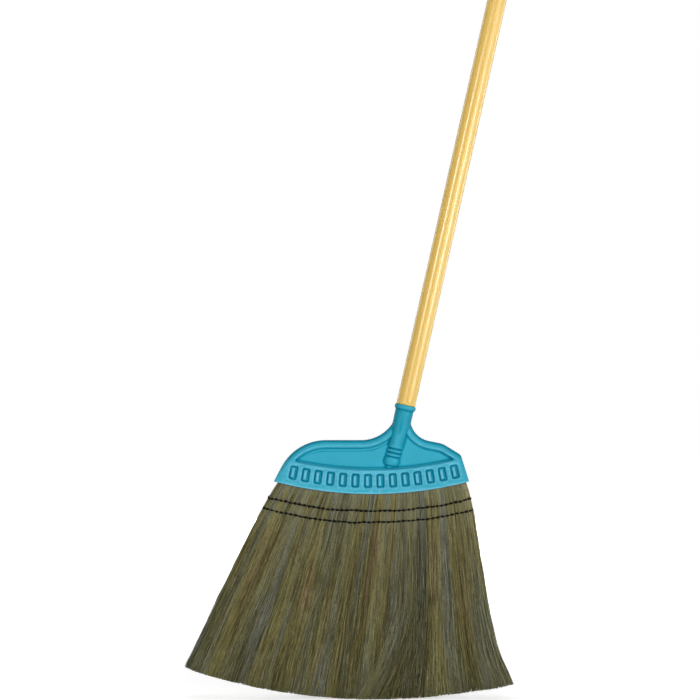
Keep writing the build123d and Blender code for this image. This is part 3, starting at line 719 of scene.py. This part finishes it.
# %% [markdown]
# One node group grows a hank. It scatters points, gives each a place across the fan, a
# depth and a tone, puts a pattern stem on each and then bends all stems into the fan:
# rays from one apex, cut off along a curve that runs beside the cap's lip. Every size is
# a named input of the group. Its kind of socket follows from the value.

# %% Node groups with named inputs
SOCKETS = {int: "Int", float: "Float", list: "Vector"}
SOCKETS |= {bpy.types.Object: "Object", bpy.types.Material: "Material"}


def node_group(name, sizes):
    """A Geometry Nodes group, its inputs, one for each size, and what adds nodes to it."""
    group = bpy.data.node_groups.new(name, "GeometryNodeTree")
    for label, value in sizes.items():
        kind = "NodeSocket" + SOCKETS[type(value)]
        group.interface.new_socket(label, in_out="INPUT", socket_type=kind)
    group.interface.new_socket("Geometry", in_out="OUTPUT", socket_type="NodeSocketGeometry")
    return group, group.nodes.new("NodeGroupInput").outputs, partial(add, group)


def grown_mesh(name, group, sizes):
    """The plain mesh that a node group makes from these sizes."""
    holder = stand(name, bpy.data.meshes.new(name))
    growth = holder.modifiers.new(group.name, "NODES")
    growth.node_group = group
    for item in group.interface.items_tree:
        if item.in_out == "INPUT":
            growth[item.identifier] = sizes[item.name]
    mesh = applied(holder, name)
    mesh.shade_smooth()
    return mesh


# %% Sizes of the fan and its hanks
HANKS, HANK_OVERLAP, FIRST_SEED, SECOND_SEED = 14, 0.25, 11, 211
LEFT_EDGE, RIGHT_EDGE = 0.010, 0.006
LEFT_SPREAD, RIGHT_SPREAD = math.radians(25.3), math.radians(9.1)
fan_height = CAP_WIDTH / (math.tan(LEFT_SPREAD) + math.tan(RIGHT_SPREAD))
apex_x = -CAP_WIDTH / 2 + fan_height * math.tan(LEFT_SPREAD)
APEX = np.array([apex_x, 0, LIP_CORNER + fan_height])
LIP_CENTRE = np.array([0, 0, LIP_RADIUS])
hank_sizes = {
    "Stem pattern": stem_pattern,
    "Stems": 1280,
    "Seed": FIRST_SEED,
    "Second seed": SECOND_SEED,
    "First share": LEFT_EDGE,
    "Last share": 1 - RIGHT_EDGE,
    "Left spread": LEFT_SPREAD,
    "Right spread": RIGHT_SPREAD,
    "Fan apex": (APEX * MM + HEAD).tolist(),
    "Lip centre": (LIP_CENTRE * MM + HEAD).tolist(),
    "Lip radius": LIP_RADIUS * MM,
    "Fan width": 300 * MM,
    "Stem length": (STEM_TIP - STEM_TOP) * MM,
    "Lock width": 26 * MM,
    "Ridge width": 2.4 * MM,
    "Streak width": 11 * MM,
    "Streak length": 250 * MM,
    "Wisp width": 1.3 * MM,
    "Wisp length": 40 * MM,
    "Lock sway": 0.12,
    "Sweep": 0.108,
    "Sweep start": 115 * MM,
    "Sweep lift": 35 * MM,
    "Flare": 13 * MM,
    "Wander": 9 * MM,
    "Stem finish": stem_finish,
}
hank, ask, grow = node_group("Grass hank", hank_sizes)
print("fan apex", APEX.round(1), "mm from the lip")

# %% Scatter the stems of a hank
FAN_END, RIDGE_PROUD = (1.0, 0.93, 0.1, 1.0), (0.3, 0.7, 0.9, 1.0)
STRAY = (0.975, 1.0, 0.03, 0.1)
LOCK_EDGE, LOCK_TAIL, LOCK_FRONT, LOCK_LEAVES = (0.640, 0.648), (0.85, 0.648), (-0.4, -0.6), 0.4
points = grow("Points", (ask["Stems"],))
chance = {}
for name in ("Seed", "Second seed"):
    any_value = {0: (0, 0, 0), 1: (1, 1, 1), "Seed": ask[name]}
    chance[name] = grow("RandomValue", any_value, data_type="FLOAT_VECTOR")
dice = grow("SeparateXYZ", (chance["Seed"],)).node.outputs
luck = chance["Second seed"]
own = grow("SeparateXYZ", (luck,)).node.outputs
share = grow("MapRange", (dice["X"], 0, 1, ask["First share"], ask["Last share"]))
swing = grow("MapRange", (dice["Y"], 0, 1, -math.pi / 2, math.pi / 2))
layer = grow("Math SINE", (swing,))

# Patterns across the fan: locks that sway together and narrow ridges
across = grow("Math MULTIPLY", (share, ask["Fan width"]))
pattern = {}
for name in ("Lock", "Ridge"):
    wide = grow("Math DIVIDE", (across, ask[name + " width"]))
    spot = grow("CombineXYZ", (wide, layer))
    noise = {"Vector": spot, "Scale": 1.0, "Detail": 2.0}
    pattern[name] = grow("TexNoise", noise, noise_dimensions="2D")
bundle = grow("Math MULTIPLY_ADD", (dice["X"], 2.0, -1.0))
bundle = grow("Math MULTIPLY", (bundle, bundle))

# The two ends of the fan are rounded, and ridges stand a little proud of each other
from_middle = grow("Math MULTIPLY_ADD", (share, 2.0, -1.0))
from_middle = grow("Math ABSOLUTE", (from_middle,))
ending = grow("MapRange", (from_middle, *FAN_END))
ending = grow("Math SQRT", (ending,))
proud = grow("MapRange", (pattern["Ridge"], *RIDGE_PROUD))
depth_share = layer
for factor in (ending, proud):
    depth_share = grow("Math MULTIPLY", (depth_share, factor))

# Locks sway together, a few stems stray, and one front lock sweeps to the left
lock = grow("Math SUBTRACT", (pattern["Lock"], 0.5))
lock = grow("Math MULTIPLY", (lock, ask["Lock sway"]))
stray = grow("MapRange", (own["X"], *STRAY))
error = grow("Math SUBTRACT", (own["Y"], 0.5))
sway = grow("Math MULTIPLY_ADD", (error, stray, lock))
swept = grow("MapRange", (share, *LOCK_EDGE), interpolation_type="SMOOTHSTEP")
tail = grow("MapRange", (share, *LOCK_TAIL), interpolation_type="SMOOTHSTEP")
front = grow("MapRange", (layer, *LOCK_FRONT))
joins = grow("Math GREATER_THAN", (dice["Z"], LOCK_LEAVES))
for factor in (tail, front, joins, ask["Sweep"]):
    swept = grow("Math MULTIPLY", (swept, factor))

choices = {"share": share, "depth": depth_share, "sway": sway, "swept": swept}
choices |= {"bundle": bundle, "luck": luck}
for name, value in choices.items():
    kind = "FLOAT_VECTOR" if name == "luck" else "FLOAT"
    note = {"Geometry": points, "Name": "stem_" + name, "Value": value}
    points = grow("StoreNamedAttribute", note, data_type=kind, domain="POINT")
print("stems scattered by", len(hank.nodes), "nodes")

# %% [markdown]
# Each point now gets a pattern stem, and Set Position bends the stem's points. A ray from
# the fan's apex meets the arc of the lip at a distance that the circle's equation gives,
# and the stem goes on below it. The curl at the right, the sway of the locks and a slow
# noise are added to that, and the floor trims what would pass it.

# %% Stand a stem on each point and lead it along its ray
SWEEP_BEND, TRIM_ERROR = 1.7, (0, 1, 1.0, 0.996)
line = grow("ObjectInfo", {"Object": ask["Stem pattern"]}, "Geometry")
line = grow("MeshToCurve", (line,))
stems = grow("InstanceOnPoints", {"Points": points, "Instance": line})
stems = grow("RealizeInstances", (stems,))
read = {}
for name in (*STEM_SIZES, "along", "around", *choices):
    kind = "FLOAT_VECTOR" if name == "luck" else "FLOAT"
    read[name] = grow("InputNamedAttribute", ("stem_" + name,), data_type=kind)
own = grow("SeparateXYZ", (read["luck"],)).node.outputs

side = grow("Math SUBTRACT", (read["share"], 0.5))
side = grow("Math MULTIPLY_ADD", (side, read["pinch"], 0.5))
side = grow("Math MULTIPLY_ADD", (read["sway"], read["loose"], side))
late = grow("MapRange", (read["below"], ask["Sweep start"], STEM_TIP * MM))
late = grow("Math POWER", (late, SWEEP_BEND))
late = grow("Math MULTIPLY", (read["swept"], late))
side = grow("Math SUBTRACT", (side, late))
right = grow("Math MULTIPLY", (ask["Right spread"], -1.0))
turn = grow("MapRange", (side, 0, 1, ask["Left spread"], right))
about = {"Vector": (0, 0, -1), "Axis": (0, 1, 0), "Angle": turn}
ray = grow("VectorRotate", about, rotation_type="AXIS_ANGLE")
apart = grow("VectorMath SUBTRACT", (ask["Fan apex"], ask["Lip centre"]))
toward = grow("VectorMath DOT_PRODUCT", (apart, ray), "Value")
apart = grow("VectorMath DOT_PRODUCT", (apart, apart), "Value")
square = grow("Math POWER", (ask["Lip radius"], 2.0))
square = grow("Math SUBTRACT", (square, apart))
square = grow("Math MULTIPLY_ADD", (toward, toward, square))
reach = grow("Math SQRT", (square,))
reach = grow("Math SUBTRACT", (reach, toward))
trim = grow("MapRange", (own["Z"], *TRIM_ERROR))
reach = grow("Math MULTIPLY_ADD", (read["below"], trim, reach))
place = grow("VectorMath MULTIPLY_ADD", (ray, reach, ask["Fan apex"]))
print("stems led by", len(hank.nodes), "nodes")

# %% Curl, depth and wander of the stems
CURL_PLACE, LIP_GROOVE = (0.76, 1.0), (8 * MM, 70 * MM, -0.42, 0.0)
STEMS_APART, DRIFT_WAVES, FLOOR_TRIM = (60, 60, 60), 4.5, (-9, -9, 0.2 * MM)
curl = grow("MapRange", (read["share"], *CURL_PLACE))
curl = grow("Math POWER", (curl, 2.0))
for factor in (read["flare"], ask["Flare"]):
    curl = grow("Math MULTIPLY", (curl, factor))
groove = grow("MapRange", (read["below"], *LIP_GROOVE))
groove = grow("Math MULTIPLY_ADD", (groove, read["bundle"], 1.0))
out_y = read["depth"]
for factor in (read["half_depth"], groove):
    out_y = grow("Math MULTIPLY", (out_y, factor))
lift = grow("Math MULTIPLY", (late, ask["Sweep lift"]))
out_y = grow("Math SUBTRACT", (out_y, lift))
offset = grow("CombineXYZ", (curl, out_y))
place = grow("VectorMath ADD", (place, offset))
slow = grow("CombineXYZ", {"Z": read["along"]})
slow = grow("VectorMath MULTIPLY_ADD", (read["luck"], STEMS_APART, slow))
drift = grow("TexNoise", {"Vector": slow, "Scale": DRIFT_WAVES, "Detail": 1.0}, "Color")
drift = grow("VectorMath SUBTRACT", (drift, (0.5, 0.5, 0.5)))
for factor in ((1, 1, 0), read["loose"]):
    drift = grow("VectorMath MULTIPLY", (drift, factor))
place = grow("VectorMath MULTIPLY_ADD", (drift, ask["Wander"], place))
place = grow("VectorMath MAXIMUM", (place, FLOOR_TRIM))
stems = grow("SetPosition", {"Geometry": stems, "Position": place})
print("stems bent by", len(hank.nodes), "nodes")

# %% [markdown]
# The bent lines get a three-sided section, which is enough for a stem this thin. How ripe
# and how pale a stem is comes from broad streaks, narrow wisps and its own flecks. Butts
# under the cap are paler and greener, some stems are bare straw in places, and the edge of
# the swept lock gets a painted highlight.

# %% Thickness of the stems
PLUMP = (0, 1, 0.7, 1.3)
ring = grow("CurvePrimitiveCircle", {"Resolution": 3, "Radius": 1.0})
around = grow("SplineParameter", out="Factor")
note = {"Geometry": ring, "Name": "stem_around", "Value": around}
ring = grow("StoreNamedAttribute", note, data_type="FLOAT", domain="POINT")
plump = grow("MapRange", (own["X"], *PLUMP))
plump = grow("Math MULTIPLY", (plump, read["thick"]))
tube = {"Curve": stems, "Profile Curve": ring, "Scale": plump, "Fill Caps": True}
stems = grow("CurveToMesh", tube)
print("stems drawn by", len(hank.nodes), "nodes")

# %% Tones of the stems
FLECKS_APART, FLECK_WAVES = (80, 80, 80), 9.0
RIPE_MEAN, PALE_MEAN = 0.48, 0.44
BUTT, BUTT_GREEN = (0.08, 0.36, 0.42, 0.0), -0.3
STRAW, BARE = (0.85, 0.87, 0, 0.7), (0.48, 0.56)
LOCK_EDGE_POWER, LOCK_GLINT = 60.0, (0, 0.02, 0, 0.8)
ON_MAP, ROUND_STEM = (0, 1, 0.005, 0.985), 0.003
across = grow("Math MULTIPLY", (read["share"], ask["Fan width"]))
along = grow("Math MULTIPLY", (read["along"], ask["Stem length"]))
tone = {}
for name in ("Streak", "Wisp"):
    wide = grow("Math DIVIDE", (across, ask[name + " width"]))
    long = grow("Math DIVIDE", (along, ask[name + " length"]))
    spot = grow("CombineXYZ", (wide, long, read["depth"]))
    mark = grow("TexNoise", {"Vector": spot, "Scale": 1.0, "Detail": 0.6}, "Color")
    tone[name] = grow("SeparateXYZ", (mark,)).node.outputs
fleck = grow("VectorMath MULTIPLY_ADD", (read["luck"], FLECKS_APART, slow))
fleck = grow("TexNoise", {"Vector": fleck, "Scale": FLECK_WAVES, "Detail": 1.0})
streak, wisp = tone["Streak"], tone["Wisp"]
ripe_parts = ((streak["X"], 1.8), (wisp["X"], 0.3), (own["Y"], 0.2))
pale_parts = ((streak["Y"], 1.4), (wisp["Y"], 1.1), (own["Z"], 0.7), (fleck, 2.4))
mixed = []
for level, parts in ((RIPE_MEAN, ripe_parts), (PALE_MEAN, pale_parts)):
    for value, weight in parts:
        level = grow("Math MULTIPLY_ADD", (value, weight, level))
        level = grow("Math SUBTRACT", (level, weight / 2))
    mixed.append(level)
ripe, pale = mixed
butt = grow("MapRange", (read["along"], *BUTT))
pale = grow("Math ADD", (pale, butt))
ripe = grow("Math MULTIPLY_ADD", (butt, BUTT_GREEN, ripe))
straw = grow("MapRange", (own["X"], *STRAW))
bare = grow("MapRange", (fleck, *BARE))
# A painted highlight along the edge of the swept lock.
lock_edge = grow("Math DIVIDE", (read["swept"], ask["Sweep"]))
lock_edge = grow("Math POWER", (lock_edge, LOCK_EDGE_POWER))
glint = grow("MapRange", (late, *LOCK_GLINT))
for amount, where in ((straw, bare), (lock_edge, glint)):
    pale = grow("Math MULTIPLY_ADD", (amount, where, pale))
print("tones mixed by", len(hank.nodes), "nodes")

# %% Map and finish of the stems
u = grow("MapRange", (ripe, *ON_MAP))
u = grow("Math MULTIPLY_ADD", (read["around"], ROUND_STEM, u))
v = grow("MapRange", (pale, *ON_MAP))
strip = grow("CombineXYZ", (u, v))
note = {"Geometry": stems, "Name": "OFBake", "Value": strip}
stems = grow("StoreNamedAttribute", note, data_type="FLOAT2", domain="CORNER")
notes = {"Geometry": stems, "Name": "stem_*"}
stems = grow("RemoveAttribute", notes, pattern_mode="WILDCARD")
stems = grow("RealizeInstances", (stems,))
stems = grow("SetMaterial", {"Geometry": stems, "Material": ask["Stem finish"]})
grow("NodeGroupOutput", {"Geometry": stems})
print("hank group of", len(hank.nodes), "nodes")

# %% Fourteen hanks across the mouth
for i in range(HANKS):
    hank_sizes["Seed"] = FIRST_SEED + i
    hank_sizes["Second seed"] = SECOND_SEED + i
    hank_sizes["First share"] = max(LEFT_EDGE, (i - HANK_OVERLAP) / HANKS)
    hank_sizes["Last share"] = min(1 - RIGHT_EDGE, (i + 1 + HANK_OVERLAP) / HANKS)
    mesh = grown_mesh(f"grass_stems_{i + 1:02d}", hank, hank_sizes)
    piece(mesh.name, mesh, stem_finish, "grass", f"grass_hank_{i + 1:02d}")
bpy.data.objects.remove(stem_pattern)

# %% [markdown]
# The thread is black waxed cotton, and it has no shine. The camera sees it as a dark line
# with a knot every five millimetres, where the front and the rear thread lock in the grass.

# %% Black waxed thread
PLY, PLY_RELIEF = 0.8 * MM, (0.4, 0.1 * MM)


def marked_finish(name, mark, dark, light, relief, values):
    """A finish with marks of one size, which show in its tone and in its relief."""
    finish, paint = new_finish(name)
    place = paint("TexCoord", out="Object")
    marks = paint("TexNoise", {"Vector": place, "Scale": 1 / mark, "Detail": 2.0})
    tint = paint("ValToRGB", {"Fac": marks}, stops=[(0.3, dark), (0.7, light)])
    strength, height = relief
    relief = paint("Bump", {"Height": marks, "Strength": strength, "Distance": height})
    shade(finish, {"Base Color": tint, "Normal": relief, **values})
    return finish


waxed = {"Roughness": 0.75, "Specular IOR Level": 0.05}
thread_name = "Black waxed cotton thread"
thread_finish = marked_finish(thread_name, PLY, "#050505", "#151413", PLY_RELIEF, waxed)

# %% [markdown]
# Each row is a loop round the fan. The node group lays a two-ply thread along the loop,
# with a twist, and sets a knot at each stitch hole. Knots differ a little in size and
# sit a little off the line, as hand-fed machine stitches do.

# %% Lines of the stitch rows
ROW_POINTS, ROW_LEFT, ROW_RIGHT = 120, 0.0105, 0.0065
ROW_END, ROW_END_LEAST = 0.07, 0.1
STITCH_ROWS = {"upper": (463.5, 11.7), "lower": (476.5, 12.1)}


def fan_point(share, radius):
    """Front-view point where a ray of the fan meets an arc about the lip's centre."""
    angle = share * (LEFT_SPREAD + RIGHT_SPREAD) - LEFT_SPREAD
    ray = np.array([math.sin(angle), 0, -math.cos(angle)])
    apart = APEX - LIP_CENTRE
    toward = apart @ ray
    return APEX + ray * (math.sqrt(toward**2 - apart @ apart + radius**2) - toward)


def row_loop(radius, half_depth):
    """Closed line round the fan: across the front, round the end and back at the rear."""
    loop = []
    for i in range(ROW_POINTS):
        swing = math.tau * i / ROW_POINTS
        share = ROW_LEFT + (1 - ROW_RIGHT - ROW_LEFT) * (1 - math.cos(swing)) / 2
        grows = (1 - ROW_END_LEAST) * (1 - abs(2 * share - 1)) / ROW_END
        ending = math.sqrt(min(1.0, ROW_END_LEAST + grows))
        depth = -math.copysign(half_depth * ending, math.sin(swing))
        loop.append(fan_point(share, radius) + np.array([0, depth, 0]))
    return loop


row_lines = {}
for name, (radius, half_depth) in STITCH_ROWS.items():
    loop = np.array(row_loop(radius, half_depth)) * MM + HEAD
    closed = [(i, (i + 1) % ROW_POINTS) for i in range(ROW_POINTS)]
    row_lines[name] = stand("row_line", drawn("row_line", loop.tolist(), closed))
print("stitch rows", list(row_lines))

# %% Thread and knots
SLACK_WAY, PLY_TWIST, PLY_FLAT = (0.4, 0.1, 1), 0.7, (1.0, 0.62, 1.0)
KNOT_LEAST, KNOT_MOST = (0.75, 0.75, 1.0), (1.05, 1.05, 1.45)
ROW_SEED = 5
row_sizes = {
    "Row line": row_lines["upper"],
    "Stitches": 92,
    "Thread radius": 0.72 * MM,
    "Knot radius": 1.55 * MM,
    "Slack": 0.4 * MM,
    "Wave": 2.2 * MM,
    "Wave length": 18 * MM,
    "Seed": ROW_SEED,
    "Thread finish": thread_finish,
}
stitch, ask, sew = node_group("Stitch row", row_sizes)
line = sew("ObjectInfo", {"Object": ask["Row line"]}, "Geometry")
line = sew("MeshToCurve", (line,))
knots = sew("ResampleCurve", {"Curve": line, "Count": ask["Stitches"]})
sway = {"Seed": ask["Seed"]}
for i, sign in enumerate((-1, 1)):
    way = [sign * w for w in SLACK_WAY]
    sway[i] = sew("VectorMath MULTIPLY", (ask["Slack"], way))
sway = sew("RandomValue", sway, data_type="FLOAT_VECTOR")
place = sew("InputPosition")
place = sew("VectorMath DIVIDE", (place, ask["Wave length"]))
wave = sew("TexNoise", {"Vector": place, "Scale": 1.0, "Detail": 0.0}, "Color")
wave = sew("VectorMath SUBTRACT", (wave, (0.5, 0.5, 0.5)))
wave = sew("VectorMath MULTIPLY", (wave, (0, 0, 1)))
sway = sew("VectorMath MULTIPLY_ADD", (wave, ask["Wave"], sway))
knots = sew("SetPosition", {"Geometry": knots, "Offset": sway})
smooth = sew("SubdivideCurve", {"Curve": knots, "Cuts": 4})
twist = sew("Math MULTIPLY", (sew("InputIndex"), PLY_TWIST))
smooth = sew("SetCurveTilt", {"Curve": smooth, "Tilt": twist})
ply = sew("CurvePrimitiveCircle", {"Resolution": 6, "Radius": ask["Thread radius"]})
ply = sew("Transform", {"Geometry": ply, "Scale": PLY_FLAT})
thread = sew("CurveToMesh", {"Curve": smooth, "Profile Curve": ply})
ball = sew("MeshUVSphere", {"Segments": 8, "Rings": 6, "Radius": ask["Knot radius"]})
holes = sew("CurveToPoints", {"Curve": knots}, mode="EVALUATED")
size = {0: KNOT_LEAST, 1: KNOT_MOST, "Seed": ask["Seed"]}
size = sew("RandomValue", size, data_type="FLOAT_VECTOR")
turned = holes.node.outputs["Rotation"]
balls = {"Points": holes, "Instance": ball, "Rotation": turned, "Scale": size}
balls = sew("InstanceOnPoints", balls)
row = sew("JoinGeometry")
for part in (balls, thread):
    stitch.links.new(part, row.node.inputs["Geometry"])
row = sew("RealizeInstances", (row,))
row = sew("SetMaterial", {"Geometry": row, "Material": ask["Thread finish"]})
sew("NodeGroupOutput", {"Geometry": row})
print("stitch group of", len(stitch.nodes), "nodes")

# %% Two stitch rows
for i, (name, line) in enumerate(row_lines.items()):
    row_sizes["Row line"], row_sizes["Seed"] = line, ROW_SEED + i
    mesh = grown_mesh(f"lock_stitches_{name}", stitch, row_sizes)
    bpy.data.objects.remove(line)
    piece(mesh.name, mesh, thread_finish, "thread", f"stitch_row_{name}")

# %% [markdown]
# Three CAD nodes keep their shape: the screw behind the socket, and the glue and the band
# inside the cap. The screw is zinc-plated steel, which has a pale bluish shine with fine
# turning marks. Hot-melt glue is milky and amber, and the band is black polypropylene.

# %% Screw, glue and band
TURNING_MARK, GLUE_CLOUD, STRAP_RIB = 0.5 * MM, 6 * MM, 1.5 * MM
FINE_RELIEF = (0.15, 0.05 * MM)
DRESSED = (
    ("handle_screw", "Zinc-plated steel", TURNING_MARK, "#8F9397", "#B2B6BA", 0.35, 1.0),
    ("glue_bed", "Set hot-melt glue", GLUE_CLOUD, "#B79A5A", "#D9C48C", 0.35, 0.0),
    ("root_band", "Black polypropylene strap", STRAP_RIB, "#131313", "#222222", 0.5, 0.0),
)
for node, name, mark, dark, light, rough, metal in DRESSED:
    values = {"Roughness": rough, "Metallic": metal}
    finish = marked_finish(name, mark, dark, light, FINE_RELIEF, values)
    frame["nodes"][node].data.materials.clear()
    frame["nodes"][node].data.materials.append(finish)

# %% [markdown]
# The broom was photographed from straight in front with a long lens, against plain white.
# The camera stands where the scale of the photograph puts it.

# %% Camera
PIXEL = 1.15 * MM
FRAME_PIXELS = 700
LENS, SENSOR = 135.0, 36.0
LIP_PIXEL = (371.4, 493.5)
middle = FRAME_PIXELS / 2
aim = HEAD + np.array([(middle - LIP_PIXEL[0]) * PIXEL, 0, (LIP_PIXEL[1] - middle) * PIXEL])
distance = FRAME_PIXELS * PIXEL * LENS / SENSOR
camera = stand("camera", bpy.data.cameras.new("camera"))
camera.data.lens = LENS
camera.data.sensor_width = SENSOR
camera.location = Vector(aim) + Vector((0, -distance, 0))
camera.rotation_euler = (math.pi / 2, 0, 0)
bpy.context.scene.camera = camera
print("camera", [round(v, 3) for v in camera.location])

# %% [markdown]
# The floor is pale and takes the broom's shadow. What the camera and the gloss see of it
# glows a little more with the distance from the broom, so that a soft shadow stays near
# the grass and the floor fades into white further off. The air beyond it is white too.

# %% Floor and air
FLOOR_SIZE, AIR, WHITE = 30.0, 0.1, linear("#FFFFFF")
GLOW_NEAR, GLOW_FAR, SHADE_REACH, WHITE_REACH = 0.64, 0.93, 0.6, 2.2


def seen_white(paint):
    """1 for rays that show the background itself: camera, glossy and transmission rays."""
    path = paint("LightPath").node.outputs
    seen = paint("Math MAXIMUM", (path["Is Camera Ray"], path["Is Glossy Ray"]))
    return paint("Math MAXIMUM", (seen, path["Is Transmission Ray"]))


floor_finish, paint = new_finish("White floor")
place = paint("TexCoord", out="Object")
reach = paint("VectorMath LENGTH", (place,), "Value")
glow = paint("MapRange", (reach, SHADE_REACH, WHITE_REACH, GLOW_NEAR, GLOW_FAR))
glow = paint("Math MULTIPLY", (seen_white(paint), glow))
matt = {"Base Color": linear("#D8D8D8"), "Roughness": 1.0, "Specular IOR Level": 0.0}
shade(floor_finish, {**matt, "Emission Color": WHITE, "Emission Strength": glow})
half = FLOOR_SIZE / 2
corners = [(-half, -half, 0), (half, -half, 0), (half, half, 0), (-half, half, 0)]
floor = stand("floor", drawn("floor", corners, faces=[(0, 1, 2, 3)]))
floor.data.materials.append(floor_finish)

world = bpy.data.worlds.new("Studio air")
bpy.context.scene.world = world
world.use_nodes = True
world.node_tree.nodes.clear()
paint = partial(add, world.node_tree)
strength = paint("MapRange", (seen_white(paint), 0, 1, AIR, 1.0))
air = paint("Background", {"Color": WHITE, "Strength": strength})
paint("OutputWorld", {"Surface": air})
print("floor", FLOOR_SIZE, "m wide")

# %% [markdown]
# Softboxes stand round the broom as in a studio: a broad one in front, two at the sides,
# one behind and a weak one above. Two narrow strips and three sheens light no matt surface.
# They are there for the long reflections in the varnish.

# %% Light
TOP_HEIGHT = 2.7


def softbox(name, azimuth, along, distance, wide, tall, watts, matte=True, shine=True):
    """Studio light at an angle round the stick's axis, its long side along the stick."""
    lamp = bpy.data.lights.new(name, "AREA")
    lamp.shape = "RECTANGLE"
    lamp.size, lamp.size_y = wide, tall
    lamp.energy = watts
    light = stand(name, lamp)
    light.visible_camera = False
    light.visible_diffuse = matte
    light.visible_glossy = shine
    across = Vector((STICK_UP.z, 0, -STICK_UP.x))
    turn = math.radians(azimuth)
    away = across * math.sin(turn) - Vector((0, 1, 0)) * math.cos(turn)
    axes = Matrix((STICK_UP.cross(away), STICK_UP, away)).transposed().to_4x4()
    at = SOCKET_MOUTH + STICK_UP * along + away * distance
    light.matrix_world = Matrix.Translation(at) @ axes
    return light


top = softbox("top_softbox", 0, 0.0, 0.0, 1.4, 1.4, 10.0, shine=False)
top.matrix_world = Matrix.Translation((0, 0, TOP_HEIGHT))
softbox("front_softbox", 12, 0.22, 3.8, 2.2, 2.2, 190.0, shine=False)
softbox("right_sheen", 47, 0.36, 1.8, 2.2, 0.8, 50.0, matte=False)
softbox("right_strip", 43, 0.37, 2.6, 0.4, 0.56, 35.0, matte=False)
softbox("left_sheen", -20, 0.36, 2.6, 0.7, 1.0, 15.0, matte=False)
softbox("left_strip", -31, 0.40, 2.6, 0.2, 0.46, 37.0, matte=False)
softbox("right_edge_sheen", 108, 0.37, 1.6, 1.4, 0.76, 12.0, matte=False)
softbox("right_softbox", 118, 0.22, 3.0, 1.4, 1.6, 30.0)
softbox("left_softbox", -130, 0.22, 3.0, 1.4, 1.6, 26.0)
softbox("rear_softbox", 180, 0.22, 3.2, 1.6, 1.6, 84.0, shine=False)

# %% View transform
scene = bpy.context.scene
scene.view_settings.view_transform = "Standard"
